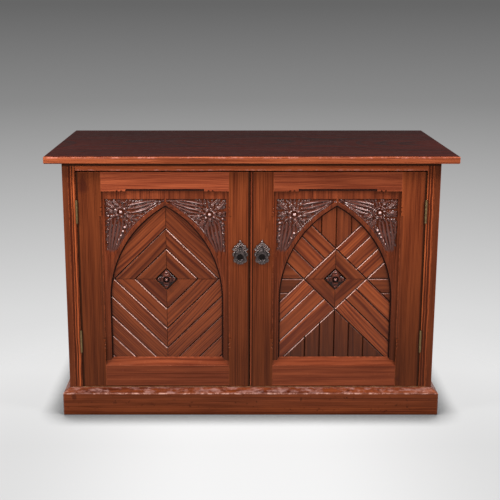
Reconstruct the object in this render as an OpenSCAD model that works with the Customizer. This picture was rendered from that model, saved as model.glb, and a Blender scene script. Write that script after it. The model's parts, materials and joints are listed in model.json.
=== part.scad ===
/* [Overall] */
// Width over the top board
overall_w = 1350; // [1280:1:1420]
// Depth over the top board
overall_d = 600; // [500:1:700]
// Height from the floor to the top of the top board
overall_h = 907; // [880:1:960]

/* [Top board] */
// Thickness of the top board
top_t = 24.5; // [18:0.5:32]
// Overhang of the top in front of the carcass
top_front_overhang = 34; // [26:1:50]
// Overhang of the top at each side
top_side_overhang = 52.5; // [30:0.5:60]
// Overhang of the top behind the back boards
top_back_overhang = 10; // [2:1:25]
// Radius of the worn arrises of the top board
top_round = 4; // [2:0.5:8]

/* [Carcass] */
// Thickness of the side boards
side_t = 18.5; // [15:0.5:24]
// Width of the stiles that carry the hinges
face_stile_w = 25; // [22:0.5:34]
// Height of the rail under the top
face_rail_h = 28.7; // [20:0.1:40]
// Drop of the door stop below the rail
stop_drop = 12; // [8:0.5:16]
// Thickness of the door stop batten
stop_t = 20; // [16:1:26]
// Thickness of the bottom board
bottom_t = 20; // [15:0.5:25]
// Depth of the housings that carry the bottom board
housing_depth = 8; // [4:0.5:10]
// Thickness of the back matchboards
back_t = 12; // [9:0.5:15]
// Width by which the back boards run into the sides' rebates
back_rebate = 10; // [5:0.5:12]
// Number of back matchboards
back_count = 13; // [9:1:17]
// Height of the shelf's upper face above the floor
shelf_z = 486; // [380:1:600]
// Thickness of the shelf
shelf_t = 19; // [15:0.5:24]
// Distance from the back of the doors to the front of the shelf
shelf_setback = 30; // [20:1:120]
// Width and height of the shelf bearers
bearer = 20; // [15:1:28]
// Height of the rail under the top at the back
back_rail_h = 40; // [25:1:60]
// Thickness of the back rails
back_rail_t = 20; // [15:1:26]
// Width and height of the glue blocks under the top
top_block = 22; // [16:1:28]
// Length of each glue block under the top
top_block_len = 80; // [50:1:110]

/* [Plinth] */
// Height of the plinth
plinth_h = 95.2; // [80:0.1:110]
// Projection of the plinth in front of the carcass
plinth_front_proud = 20; // [14:0.5:25]
// Projection of the plinth at each side
plinth_side_proud = 22; // [14:0.5:26]
// Height of the chamfer along the plinth's upper edge
plinth_chamfer = 16.8; // [8:0.1:24]
// Height by which the bottom board stands above the plinth
plinth_reveal = 1.3; // [0.5:0.1:3]
// Width of the glue blocks behind the plinth
plinth_block = 30; // [20:1:40]

/* [Doors] */
// Thickness of the door frames
door_t = 32; // [30:0.5:38]
// Width of the hinge stiles
hinge_stile_w = 80.5; // [70:0.5:92]
// Distance from the centre line to each door's panel
panel_inset = 74.5; // [68:0.5:84]
// Height of the top rails
top_rail_h = 65; // [55:0.5:80]
// Height of the bottom rails
bottom_rail_h = 99.3; // [80:0.1:115]
// Gap between the face stile and the door
hinge_gap = 2; // [1.6:0.1:3]
// Gap between the two doors
meeting_gap = 2; // [2:0.1:3]
// Gap over the doors
door_top_gap = 3.8; // [3:0.1:4.2]
// Gap under the doors
door_bottom_gap = 2.2; // [1.5:0.1:4]
// Distance of the meeting line to the left of the centre
meeting_shift = 4; // [2:0.5:6]
// Width of the bead along the right door's meeting edge
bead_w = 7; // [5:0.5:9]
// Leg of the stopped chamfers on the panel arrises
arris_chamfer = 8; // [4:0.5:8]
// Length of plain arris left at the ends of a stopped chamfer on a stile
stile_stop = 70; // [50:1:110]
// Length of plain arris left at the ends of the top rail's chamfer
rail_stop = 81; // [50:1:120]
// Width of the nicks cut beside each chamfer
nick_w = 8; // [4:0.5:10]
// Spacing of the nicks
nick_pitch = 14; // [11:0.5:18]
// Height of the splay along the bottom rail
sill_h = 24.4; // [14:0.1:34]
// Length of the tenons
tenon_len = 30; // [15:1:30]
// Thickness of the tenons
tenon_t = 10; // [6:0.5:12]
// Height of rail left above and below a tenon
tenon_shoulder = 10; // [5:0.5:14]

/* [Panels] */
// Setback of the spandrel boards behind the door's face
panel_setback = 8.5; // [6:0.5:10]
// Thickness of the carved spandrel boards
spandrel_t = 11; // [9:0.5:12]
// Thickness of the matchboards
match_t = 7; // [5:0.5:8]
// Width by which the panel runs into the frame's rebate
rebate = 10; // [6:0.5:12]
// Width of the upright strips beside the arch
arch_margin = 24; // [20:0.5:34]
// Height of the springing above the panel's lower edge
spring_rise = 207; // [160:1:250]
// Height from the apex of the arch to the panel's upper edge
apex_margin = 56.1; // [48:0.1:80]
// Width of the splay along the arch
arch_splay = 16; // [8:0.5:17]
// Depth of the splay along the arch
arch_splay_depth = 7; // [3:0.5:8]
// Height of the pattern's centre above the panel's lower edge
pattern_rise = 279; // [240:1:310]
// Width of each matchboard
board_pitch = 50; // [44:0.5:56]
// Width of the groove along each joint
groove_w = 5.5; // [3:0.1:7]
// Width of the groove along each mitre
mitre_w = 1.6; // [1:0.1:3]
// Width of the boards over the diamond, up to the arch
crown_w = 58; // [52:0.5:64]
// Gap between neighbouring boards
board_gap = 0.4; // [0.2:0.1:0.8]

/* [Carving] */
// Depth of the sunk ground round the leaves
carve_depth = 4.5; // [2:0.5:6]
// Width of the plain band over the carving
carve_top_band = 28; // [20:0.5:40]
// Plain margin between the carving and the frame
carve_margin = 8; // [4:0.5:12]
// Plain margin at the joint over the apex
carve_centre = 3; // [2:0.5:8]
// Height of the carving from its top edge to the tip of its tail
carve_drop = 212; // [150:1:240]
// Radius of the flower boss in each spandrel
boss_r = 15; // [10:0.5:18]
// Distance of the flower boss from the frame
boss_inset = 65; // [50:1:80]
// Distance of the flower boss below the panel's upper edge
boss_drop = 76; // [62:1:90]
// Width of the carved blades
blade_w = 13; // [8:0.5:16]
// Height of the rosette in front of the matchboards
rosette_proud = 10; // [6:0.5:14]

/* [Hinges] */
// Height of each butt hinge
hinge_h = 76; // [64:1:90]
// Width of a hinge leaf
leaf_w = 24; // [18:0.5:25]
// Thickness of a hinge leaf
leaf_t = 2; // [1.5:0.1:2.5]
// Radius of the hinge knuckles
knuckle_r = 3.5; // [3.2:0.1:4]
// Radius of the hinge pins
pin_r = 1.8; // [1.4:0.1:2]
// Distance of the hinge axis in front of the doors
hinge_proud = 2; // [1.5:0.1:2.5]
// Distance from the top of the door to the middle of the upper hinge
upper_hinge_drop = 134; // [90:1:180]
// Distance from the bottom of the door to the middle of the lower hinge
lower_hinge_rise = 163; // [130:1:200]
// Radius of the hinge screws
screw_r = 2; // [1.5:0.1:2.4]
// Length of the hinge screws
screw_len = 18; // [12:1:20]

/* [Handles] */
// Distance of each handle from the centre line
handle_inset = 36.5; // [34:0.5:42]
// Height of the pull's pivot above the panel's lower edge
handle_rise = 392; // [300:1:430]
// Thickness of the handle plates
plate_t = 2.5; // [1.5:0.1:3.5]
// Half of the handle plate's width at its side points
plate_half_w = 27; // [25:0.5:29]
// Height of the plate's point above the pivot
plate_up = 29; // [25:0.5:36]
// Depth of the plate's foot below the pivot
plate_down = 57; // [55:0.5:62]
// Radius of the ring of the pull
ring_r = 21; // [18:0.5:21.5]
// Radius of the hole in the ring
ring_hole_r = 10.5; // [8:0.5:12]
// Distance from the pivot to the middle of the ring
ring_drop = 29; // [27:0.5:31]
// Thickness of the pull
pull_t = 5.5; // [4.8:0.1:5.8]
// Radius of the pull's barrel
barrel_r = 3; // [2.6:0.1:3.2]
// Length of the pull's barrel
barrel_len = 9; // [7:0.5:12]
// Radius of the pivot pin of the pull
pull_pin_r = 1.2; // [1:0.1:1.4]

/* [Bolt and catch] */
// Radius of the barrel bolt's rod
bolt_r = 3.2; // [2.5:0.1:3.5]
// Length of the barrel bolt's rod
bolt_len = 66; // [64:1:72]
// Travel of the barrel bolt
bolt_travel = 12; // [8:0.5:12]
// Distance of the bolt and the catch from the centre line
catch_inset = 30; // [26:0.5:34]
// Width of the bolt's plate
bolt_plate_w = 24; // [20:1:28]
// Height of the bolt's plate
bolt_plate_h = 58; // [54:1:60]
// Radius of the catch's ball
ball_r = 4; // [3.8:0.1:4.5]
// Length of the catch's case
catch_len = 18; // [14:1:24]

/* [Clearances] */
// Clearance between a closed door and its stop
stop_clear = 0.3; // [0.2:0.1:0.6]
// Radial clearance of a pin in its bore
pin_clear = 0.06; // [0.03:0.01:0.1]
// Clearance round screws and fixed studs
screw_clear = 0.1; // [0.05:0.05:0.2]
// Clearance between pieces that turn past each other
run_clear = 0.4; // [0.3:0.1:0.6]
// Clearance of the shelf between the side boards
shelf_clear = 0.5; // [0.3:0.1:1]
// Clearance between the catch's ball and its strike plate
catch_clear = 0.5; // [0.3:0.1:0.8]

/* [Hidden] */
$fn = 72;
eps = 1;

pine_top = "#5a2a22";
pine = "#8a4324";
pine_dark = "#6b3018";
pine_light = "#a4592f";
pine_inside = "#b98a5e";
carved = "#5b2a19";
brass = "#8c7a3e";
iron = "#5c544c";

body_hw = overall_w / 2 - top_side_overhang;
inner_hw = body_hw - side_t;
opening_hw = inner_hw - face_stile_w;
front_y = -overall_d / 2 + top_front_overhang;
back_y = overall_d / 2 - top_back_overhang;
back_in = back_y - back_t;
top_z = overall_h - top_t;
floor_z = plinth_h + plinth_reveal;
bottom_under = floor_z - bottom_t;
rail_z = top_z - face_rail_h;
rail_shoulder = 4;
door_back = front_y + door_t;
stop_y = door_back + stop_clear;

door_z0 = floor_z + door_bottom_gap;
door_z1 = rail_z - door_top_gap;
door_outer = opening_hw - hinge_gap;
nick_bar = 60;
panel_x0 = -(door_outer - hinge_stile_w);
panel_x1 = -panel_inset;
panel_w = panel_x1 - panel_x0;
panel_cx = (panel_x0 + panel_x1) / 2;
panel_z0 = door_z0 + bottom_rail_h;
panel_z1 = door_z1 - top_rail_h;
panel_h = panel_z1 - panel_z0;
panel_front = front_y + panel_setback;
match_front = panel_front + spandrel_t;
match_back = match_front + match_t;

arch_hw = panel_w / 2 - arch_margin;
arch_rise = panel_h - spring_rise - apex_margin;
arch_r = (arch_hw * arch_hw + arch_rise * arch_rise) / (2 * arch_hw);
spring_z = panel_z0 + spring_rise;
pattern_z = panel_z0 + pattern_rise;
field_hw = panel_w / 2 + rebate;
field_z0 = panel_z0 - rebate - pattern_z;
field_z1 = panel_z1 + rebate - pattern_z;
boss_x = panel_w / 2 - boss_inset;
boss_z = panel_z1 - pattern_z - boss_drop;
petal_len = 2.6 * boss_r;
eye_proud = 2;
bead_proud = 1.2;
centre_d = board_pitch / 2;
diamond_d = centre_d + board_pitch;
reach = panel_h + panel_w;

axis_x = opening_hw - hinge_gap / 2;
axis_y = front_y - hinge_proud;
hinge_zs = [door_z0 + lower_hinge_rise, door_z1 - upper_hinge_drop];
leaf_y = knuckle_r + run_clear;
tip_room = 2;
knuckles = 5;
knuckle_len = hinge_h / knuckles;
screw_head_r = screw_r * 1.9;
screw_zs = [-hinge_h * 0.36, 0, hinge_h * 0.36];

pivot_z = panel_z0 + handle_rise;
plate_foot_r = 21;
plate_lobe_r = 6;
seat = 0.5;
ear_t = 3;
ear_r = barrel_r + 1;
knob_r = 4.5;
knob_t = 2.5;
side_screw_x = plate_half_w - 6.5;
plate_screws = [[0, plate_up - 7], [-side_screw_x, 1], [side_screw_x, 1]];
pull_axis = plate_t + barrel_r + run_clear;
plate_screw_r = 1.3;
plate_screw_len = 12;

bolt_stand = 1.3;
bolt_y = door_back + leaf_t + bolt_r + bolt_stand;
bolt_top = rail_z - stop_drop - 1;
bolt_plate_z = bolt_top - bolt_plate_h - 3;
bolt_screw_r = 1.4;
bolt_screw_len = 12;
bolt_screw_end = 7;
bolt_screw_x = bolt_plate_w / 2 - 4.5;
guide_len = 9;
guide_wall = 1.8;
guide_end = 4;
thumb_r = 3.5;
thumb_stem_r = 2;
thumb_stem = bolt_r + 6;
catch_y = front_y + door_t / 2;
case_r = ball_r + 1.2;
strike_t = 1;
strike_l = 34;
strike_w = 14;

function stile_edge(s) = s < 0
    ? -(meeting_shift + meeting_gap / 2)
    : meeting_shift - meeting_gap / 2 - bead_w;
function screw_offset(z) = leaf_y + leaf_w * (z == 0 ? 0.36 : 0.64);

// Shared shapes. Every door piece is drawn for the left door, and the right one is its mirror image.

module door_side(s) {
    if (s > 0) mirror([1, 0, 0]) children();
    else children();
}

module block(x0, x1, y0, y1, z0, z1) {
    translate([x0, y0, z0]) cube([x1 - x0, y1 - y0, z1 - z0]);
}

module rounded_rect(w, h, r) {
    translate([r, 0]) square([w - 2 * r, h]);
    translate([0, r]) square([w, h - 2 * r]);
    for (x = [r, w - r], y = [r, h - r]) translate([x, y]) circle(r);
}

// A panel drawing, x to the right and y up from the pattern's centre, with its back at y_back
module upright(y_back, t) {
    translate([panel_cx, y_back, pattern_z]) rotate([90, 0, 0]) linear_extrude(t) children();
}

// A square bar that cuts a 45 degree chamfer of the given leg along an upright arris
module upright_chamfer(x, z0, z1, leg) {
    side = leg * sqrt(2);
    translate([x, front_y, z0]) rotate([0, 0, 45]) translate([-side / 2, -side / 2, 0])
        cube([side, side, z1 - z0]);
}

// A notch of the given width across an upright arris, turned to face along the angle
module upright_nick(x, z, angle) {
    side = nick_w / sqrt(2);
    translate([x, front_y, z]) rotate([0, 0, angle]) rotate([45, 0, 0])
        cube([nick_bar, side, side], center = true);
}

module screw_shape(length, clear) {
    cylinder(r = screw_r + clear, h = length + clear);
    cylinder(r1 = screw_head_r + clear, r2 = screw_r + clear, h = leaf_t);
}

// A pointed leaf along +x, between two arcs
module lens(length, width) {
    r = (length * length + width * width) / (4 * width);
    intersection() {
        translate([length / 2, r - width / 2]) circle(r, $fn = 360);
        translate([length / 2, width / 2 - r]) circle(r, $fn = 360);
    }
}

// Carcass

module top_board() {
    color(pine_top) intersection() {
        translate([-overall_w / 2, overall_d / 2, top_z]) rotate([90, 0, 0])
            linear_extrude(overall_d) rounded_rect(overall_w, top_t, top_round);
        translate([-overall_w / 2, -overall_d / 2, top_z]) rotate([90, 0, 90])
            linear_extrude(overall_w) rounded_rect(overall_d, top_t, top_round);
    }
}

module side_board(s) {
    door_side(s) color(pine_dark) difference() {
        block(-body_hw, -inner_hw, front_y, back_y, 0, top_z);
        block(-inner_hw - housing_depth, -inner_hw + eps, front_y - eps, back_in, bottom_under, floor_z);
        block(-inner_hw - back_rebate, -inner_hw + eps, back_in, back_y + eps, -eps, top_z + eps);
    }
}

module face_stile(s) {
    door_side(s) color(pine) difference() {
        block(-inner_hw, -opening_hw, front_y, door_back, floor_z, top_z);
        for (z = hinge_zs) translate([-axis_x, axis_y, z]) {
            hinge_recess(-1);
            hinge_screws(-1, screw_clear);
        }
        block(-opening_hw - housing_depth, -opening_hw + eps, front_y + tenon_t, front_y + 2 * tenon_t,
            rail_z + rail_shoulder, top_z + eps);
    }
}

module face_rail() {
    color(pine) difference() {
        union() {
            block(-opening_hw, opening_hw, front_y, stop_y, rail_z, top_z);
            block(-opening_hw - housing_depth, opening_hw + housing_depth, front_y + tenon_t,
                front_y + 2 * tenon_t, rail_z + rail_shoulder, top_z);
        }
        translate([catch_inset - strike_l / 2, catch_y - strike_w / 2, rail_z - eps])
            cube([strike_l, strike_w, strike_t + eps]);
    }
}

module door_stop() {
    color(pine_dark) difference() {
        block(-opening_hw, opening_hw, stop_y, stop_y + stop_t, rail_z - stop_drop, top_z);
        translate([-catch_inset, bolt_y, rail_z - stop_drop - eps])
            cylinder(r = bolt_r + run_clear, h = bolt_travel + bolt_stand + eps);
    }
}

module bottom_board() {
    color(pine_inside)
        block(-inner_hw - housing_depth, inner_hw + housing_depth, front_y, back_in, bottom_under, floor_z);
}

module shelf() {
    color(pine_inside)
        block(-inner_hw + shelf_clear, inner_hw - shelf_clear, door_back + shelf_setback, back_in,
            shelf_z - shelf_t, shelf_z);
}

module shelf_bearers() {
    under = shelf_z - shelf_t;
    color(pine_inside) {
        for (s = [-1, 1]) door_side(s)
            block(-inner_hw, -inner_hw + bearer, door_back + shelf_setback + bearer, back_in, under - bearer,
                under);
        block(-inner_hw + bearer + shelf_clear, inner_hw - bearer - shelf_clear, back_in - bearer, back_in,
            under - bearer, under);
    }
}

module back_boards() {
    width = 2 * (inner_hw + back_rebate) / back_count;
    tongue = 5;
    third = back_t / 3;
    color(pine_dark) for (i = [0 : back_count - 1]) {
        x = -inner_hw - back_rebate + i * width;
        difference() {
            union() {
                block(x, x + width - board_gap, back_in, back_y, bottom_under - back_rail_h, top_z);
                if (i < back_count - 1)
                    block(x, x + width + tongue, back_in + third, back_y - third,
                        bottom_under - back_rail_h, top_z);
            }
            if (i > 0)
                block(x - eps, x + tongue + board_gap, back_in + third - board_gap, back_y - third + board_gap,
                    -eps, top_z + eps);
        }
    }
}

module back_rail() {
    color(pine_dark) block(-inner_hw, inner_hw, back_in - back_rail_t, back_in, top_z - back_rail_h, top_z);
}

module top_blocks() {
    first = stop_y + stop_t;
    span = back_in - back_rail_t - first;
    color(pine_dark) for (s = [-1, 1]) door_side(s) for (i = [1 : 3])
        block(-inner_hw, -inner_hw + top_block, first + span * i / 4 - top_block_len / 2,
            first + span * i / 4 + top_block_len / 2, top_z - top_block, top_z);
}

module plinth_profile(proud) {
    polygon([[0, 0], [proud, 0], [proud, plinth_h - plinth_chamfer], [0, plinth_h]]);
}

module plinth_front() {
    hw = body_hw + plinth_side_proud;
    color(pine) intersection() {
        translate([-hw, front_y, 0]) rotate([90, 0, 90]) linear_extrude(2 * hw)
            mirror([1, 0]) plinth_profile(plinth_front_proud);
        linear_extrude(plinth_h)
            polygon([[-hw, front_y - plinth_front_proud], [hw, front_y - plinth_front_proud],
                [body_hw, front_y], [-body_hw, front_y]]);
    }
}

module plinth_side(s) {
    hw = body_hw + plinth_side_proud;
    door_side(s) color(pine) intersection() {
        translate([-body_hw, back_y, 0]) rotate([90, 0, 0])
            linear_extrude(back_y - front_y + plinth_front_proud)
                mirror([1, 0]) plinth_profile(plinth_side_proud);
        linear_extrude(plinth_h)
            polygon([[-hw, front_y - plinth_front_proud], [-body_hw, front_y], [-body_hw, back_y],
                [-hw, back_y]]);
    }
}

module plinth_back() {
    color(pine_dark) block(-inner_hw, inner_hw, back_in - back_rail_t, back_in, 0, bottom_under);
}

module plinth_blocks() {
    color(pine_dark) for (s = [-1, 1]) door_side(s) {
        block(-inner_hw, -inner_hw + plinth_block, front_y, front_y + plinth_block, 0, bottom_under);
        block(-inner_hw / 3 - plinth_block, -inner_hw / 3, front_y, front_y + plinth_block, 0, bottom_under);
    }
}

// Hinges, drawn about their own axis with the door towards +x

module hinge_recess(dir) {
    gap = hinge_gap / 2;
    translate([dir > 0 ? gap - eps : -gap - leaf_t, -hinge_proud, -hinge_h / 2])
        cube([leaf_t + eps, leaf_y + leaf_w + hinge_proud, hinge_h]);
    translate([0, 0, -hinge_h / 2 - tip_room]) cylinder(r = knuckle_r + run_clear, h = hinge_h + 2 * tip_room);
}

module hinge_screws(dir, clear) {
    for (z = screw_zs) translate([dir * hinge_gap / 2, screw_offset(z), z]) rotate([0, dir * 90, 0])
        screw_shape(screw_len, clear);
}

// A leaf owns the even knuckles on the frame's side and the odd ones on the door's side
module hinge_leaf(dir) {
    gap = hinge_gap / 2;
    x = dir > 0 ? gap : -gap - leaf_t;
    own = dir > 0 ? [1, 3] : [0, 2, 4];
    difference() {
        union() {
            translate([x, leaf_y, -hinge_h / 2]) cube([leaf_t, leaf_w, hinge_h]);
            for (k = own) translate([0, 0, -hinge_h / 2 + k * knuckle_len + run_clear / 2]) {
                cylinder(r = knuckle_r, h = knuckle_len - run_clear);
                translate([x, 0, 0]) cube([leaf_t, leaf_y + eps, knuckle_len - run_clear]);
            }
        }
        translate([0, 0, -hinge_h]) cylinder(r = pin_r + pin_clear, h = 2 * hinge_h);
        hinge_screws(dir, screw_clear);
    }
}

module frame_hinges() {
    color(brass) for (s = [-1, 1]) door_side(s) for (z = hinge_zs)
        translate([-axis_x, axis_y, z]) hinge_leaf(-1);
}

module door_hinges(s) {
    door_side(s) color(brass) for (z = hinge_zs) translate([-axis_x, axis_y, z]) hinge_leaf(1);
}

module hinge_pins() {
    tip = 1.4;
    tip_r = pin_r * 1.5;
    color(brass) for (s = [-1, 1]) door_side(s) for (z = hinge_zs) translate([-axis_x, axis_y, z]) {
        translate([0, 0, -hinge_h / 2 - tip]) cylinder(r = pin_r, h = hinge_h + 2 * tip);
        for (end = [-hinge_h / 2 - tip, hinge_h / 2]) translate([0, 0, end]) cylinder(r = tip_r, h = tip);
    }
}

module frame_hinge_screws() {
    color(brass) for (s = [-1, 1]) door_side(s) for (z = hinge_zs)
        translate([-axis_x, axis_y, z]) hinge_screws(-1, 0);
}

module door_hinge_screws(s) {
    door_side(s) color(brass) for (z = hinge_zs) translate([-axis_x, axis_y, z]) hinge_screws(1, 0);
}

// Door frame

module stack_space() {
    block(panel_x0 - rebate, panel_x1 + rebate, panel_front, door_back + eps,
        panel_z0 - rebate, panel_z1 + rebate);
}

// The splay along the bottom rail, from its front face back to the matchboards
module sill_cut() {
    depth = match_front - front_y;
    over = 2;
    rise = sill_h * over / depth;
    translate([panel_x0 - rebate - eps, 0, 0]) rotate([90, 0, 90])
        linear_extrude(panel_w + 2 * rebate + 2 * eps)
            polygon([[front_y - over, panel_z0 - sill_h - rise], [match_front, panel_z0],
                [match_front, panel_z0 + eps], [front_y - over, panel_z0 + eps]]);
}

module top_tenon(x0, x1) {
    block(x0, x1, front_y + (door_t - tenon_t) / 2, front_y + (door_t + tenon_t) / 2,
        panel_z1 + rebate + tenon_shoulder / 2, door_z1 - tenon_shoulder);
}

module bottom_tenon(x0, x1) {
    block(x0, x1, front_y + (door_t - tenon_t) / 2, front_y + (door_t + tenon_t) / 2,
        door_z0 + tenon_shoulder, panel_z0 - max(rebate, sill_h) - tenon_shoulder / 2);
}

module stile_decoration(x, angle) {
    upright_chamfer(x, panel_z0 + stile_stop, panel_z1 - stile_stop - nick_pitch, arris_chamfer);
    for (i = [1, 2]) {
        upright_nick(x, panel_z0 + stile_stop - i * nick_pitch, angle);
        upright_nick(x, panel_z1 - stile_stop - nick_pitch + i * nick_pitch, angle);
    }
}

module hinge_stile(s) {
    door_side(s) color(pine) difference() {
        block(-door_outer, panel_x0, front_y, door_back, door_z0, door_z1);
        stack_space();
        top_tenon(panel_x0 - tenon_len, panel_x0 + eps);
        bottom_tenon(panel_x0 - tenon_len, panel_x0 + eps);
        stile_decoration(panel_x0, 45);
        for (z = hinge_zs) translate([-axis_x, axis_y, z]) {
            hinge_recess(1);
            hinge_screws(1, screw_clear);
        }
    }
}

module meeting_stile(s) {
    door_side(s) color(pine) difference() {
        block(panel_x1, stile_edge(s), front_y, door_back, door_z0, door_z1);
        stack_space();
        top_tenon(panel_x1 - eps, panel_x1 + tenon_len);
        bottom_tenon(panel_x1 - eps, panel_x1 + tenon_len);
        stile_decoration(panel_x1, -45);
        handle_at() handle_screw_set(screw_clear);
        if (s > 0) translate([-catch_inset, catch_y, door_z1 - catch_len])
            cylinder(r = case_r + screw_clear, h = catch_len + eps);
        if (s < 0) bolt_screws(screw_clear);
    }
}

module top_rail(s) {
    side = arris_chamfer * sqrt(2);
    door_side(s) color(pine_light) difference() {
        union() {
            block(panel_x0, panel_x1, front_y, door_back, panel_z1, door_z1);
            top_tenon(panel_x0 - tenon_len, panel_x1 + tenon_len);
        }
        stack_space();
        translate([panel_x0 + rail_stop, front_y, panel_z1]) rotate([45, 0, 0])
            translate([0, -side / 2, -side / 2]) cube([panel_w - 2 * rail_stop, side, side]);
        for (x = [panel_x0 + rail_stop, panel_x1 - rail_stop], i = [-1, -2])
            translate([x + (x < panel_cx ? i : -i) * nick_pitch, front_y, panel_z1]) rotate([45, 0, 0])
                rotate([0, 0, 45]) cube([nick_w / sqrt(2), nick_w / sqrt(2), nick_bar], center = true);
    }
}

module bottom_rail(s) {
    door_side(s) color(pine_light) difference() {
        union() {
            block(panel_x0, panel_x1, front_y, door_back, door_z0, panel_z0);
            bottom_tenon(panel_x0 - tenon_len, panel_x1 + tenon_len);
        }
        block(panel_x0 - eps, panel_x1 + eps, match_front, door_back + eps, panel_z0 - rebate, panel_z0 + eps);
        sill_cut();
    }
}

module meeting_bead() {
    r = bead_w / 2;
    edge = stile_edge(1);
    door_side(1) color(pine_light) {
        block(edge, edge + bead_w, front_y + r, door_back, door_z0, door_z1);
        translate([edge + r, front_y + r, door_z0]) cylinder(r = r, h = door_z1 - door_z0);
    }
}

// Spandrels: x is measured from the panel's centre line towards the piece's own side

module carved_ground() {
    outer = panel_w / 2 - carve_margin;
    top = panel_z1 - pattern_z - carve_top_band;
    difference() {
        translate([carve_centre, top - carve_drop]) square([outer - carve_centre, carve_drop]);
        translate([arch_hw - arch_r, spring_z - pattern_z]) circle(arch_r + arch_splay + 1, $fn = 180);
    }
}

// Blades run from the flower up to the apex and down to the tail, with short petals between them
module carved_leaves() {
    apex_z = spring_z + arch_rise - pattern_z;
    lean = atan2(apex_z + arch_splay - boss_z, -boss_x);
    start = boss_r / 2;
    up_len = norm([boss_x, apex_z + arch_splay - boss_z]) - start;
    tail_len = carve_drop - boss_drop + carve_top_band;
    translate([boss_x, boss_z]) {
        for (i = [0 : 3]) rotate(lean + 12 - i * 9) translate([start, 0])
            lens(up_len * (1 - 0.1 * abs(i - 1)), blade_w);
        for (i = [0 : 2]) rotate(-76 + i * 12) translate([start, 0]) lens(tail_len * (1 - 0.06 * i), blade_w);
        for (i = [0 : 4]) rotate(-40 + i * 38) translate([start, 0]) lens(petal_len, blade_w);
    }
}

module spandrel(s, side) {
    spring = spring_z - pattern_z;
    splay = arch_splay_depth / arch_splay;
    over = 2;
    door_side(s) color(carved) {
        difference() {
            translate([panel_cx, 0, pattern_z]) mirror([side < 0 ? 1 : 0, 0, 0]) {
                difference() {
                    translate([0, match_front, 0]) rotate([90, 0, 0]) linear_extrude(spandrel_t) difference() {
                        translate([board_gap / 2, field_z0])
                            square([field_hw - board_gap / 2, field_z1 - field_z0]);
                        translate([arch_hw - arch_r, spring]) circle(arch_r, $fn = 180);
                        translate([-eps, field_z0 - eps]) square([arch_hw + eps, spring - field_z0 + eps]);
                    }
                    translate([arch_hw - arch_r, 0, spring]) rotate([90, 0, 0]) rotate_extrude($fn = 180)
                        polygon([[arch_r - over, -panel_front + over * splay],
                            [arch_r + arch_splay + over, -panel_front + over * splay],
                            [arch_r - over, -panel_front - arch_splay_depth - over * splay]]);
                    translate([0, 0, field_z0 - eps])
                        linear_extrude(spring - field_z0 + eps)
                            polygon([[arch_hw - over, panel_front - over * splay],
                                [arch_hw + arch_splay + over, panel_front - over * splay],
                                [arch_hw - over, panel_front + arch_splay_depth + over * splay]]);
                    translate([0, panel_front + carve_depth, 0]) rotate([90, 0, 0])
                        linear_extrude(carve_depth + eps) difference() {
                            carved_ground();
                            carved_leaves();
                            translate([boss_x, boss_z]) circle(boss_r);
                        }
                }
                translate([boss_x, panel_front, boss_z]) rotate([90, 0, 0]) carved_boss();
            }
            bottom_rail_solid();
        }
    }
}

// What the bottom rail takes up below the spandrel boards
module bottom_rail_solid() {
    difference() {
        block(panel_x0 - rebate - eps, panel_x1 + rebate + eps, front_y - eps, door_back, door_z0, panel_z0);
        sill_cut();
    }
}

// The flower: a raised eye with a ring of beads round it
module carved_boss() {
    translate([0, 0, -eps]) cylinder(r = boss_r * 0.55, h = eye_proud + eps);
    for (a = [0 : 45 : 315]) rotate(a) translate([boss_r * 0.72, 0, -eps])
        cylinder(r = boss_r * 0.24, h = bead_proud + eps);
    translate([0, 0, eye_proud / 4]) sphere(r = boss_r * 0.28);
}

// Matchboards

module field() {
    translate([-field_hw + board_gap, field_z0 + board_gap])
        square([2 * (field_hw - board_gap), field_z1 - field_z0 - 2 * board_gap]);
}

// The boards of one ring of the diamond pattern, mitred at the upright and level centre lines, over the level
// line where rows holds 0 and under it where rows holds 1
module ring_boards(from_d, width = board_pitch, rows = [0, 1]) {
    for (qx = [0, 1], qz = rows) mirror([qx, 0]) mirror([0, qz]) intersection() {
        translate([board_gap / 2, board_gap / 2]) square(reach);
        rotate(45) translate([from_d + board_gap / 2, -reach]) square([width - board_gap, 2 * reach]);
    }
}

// A V groove along a line at the given angle and distance from the centre, from one place along it to another
module groove(angle, distance, from, to, width = groove_w) {
    side = width / sqrt(2);
    translate([panel_cx, match_front, pattern_z]) rotate([0, -angle, 0]) translate([from, 0, distance])
        rotate([45, 0, 0]) translate([0, -side / 2, -side / 2]) cube([to - from, side, side]);
}

// The sides of a square on its point, from mitre to mitre, for the quadrants that face along the angles
module ring_groove(d, angles = [45 : 90 : 315]) {
    for (a = angles) groove(a, -d, -d, d);
}

module mitre_grooves(from_d, to_d) {
    for (a = [0 : 90 : 270]) groove(a, 0, from_d * sqrt(2), to_d * sqrt(2), mitre_w);
}

module centre_boards(s) {
    door_side(s) color(pine_dark) difference() {
        upright(match_back, match_t) ring_boards(centre_d);
        ring_groove(centre_d);
        ring_groove(diamond_d);
        mitre_grooves(centre_d, diamond_d);
    }
}

module diamond_boards() {
    outer_d = diamond_d + board_pitch;
    color(pine) difference() {
        upright(match_back, match_t) intersection() {
            ring_boards(diamond_d);
            field();
        }
        ring_groove(diamond_d);
        ring_groove(outer_d);
        mitre_grooves(diamond_d, outer_d);
    }
}

module chevron_boards() {
    first = diamond_d + board_pitch;
    under_count = ceil(((field_hw - field_z0) / sqrt(2) - first) / board_pitch);
    over_count = ceil(((field_hw + field_z1) / sqrt(2) - first) / crown_w);
    color(pine) difference() {
        upright(match_back, match_t) intersection() {
            union() {
                for (i = [0 : under_count - 1]) ring_boards(first + i * board_pitch, board_pitch, [1]);
                for (i = [0 : over_count - 1]) ring_boards(first + i * crown_w, crown_w, [0]);
            }
            field();
        }
        ring_groove(first);
        for (i = [1 : under_count - 1]) ring_groove(first + i * board_pitch, [45, 315]);
        mitre_grooves(first, reach);
    }
}

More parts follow.
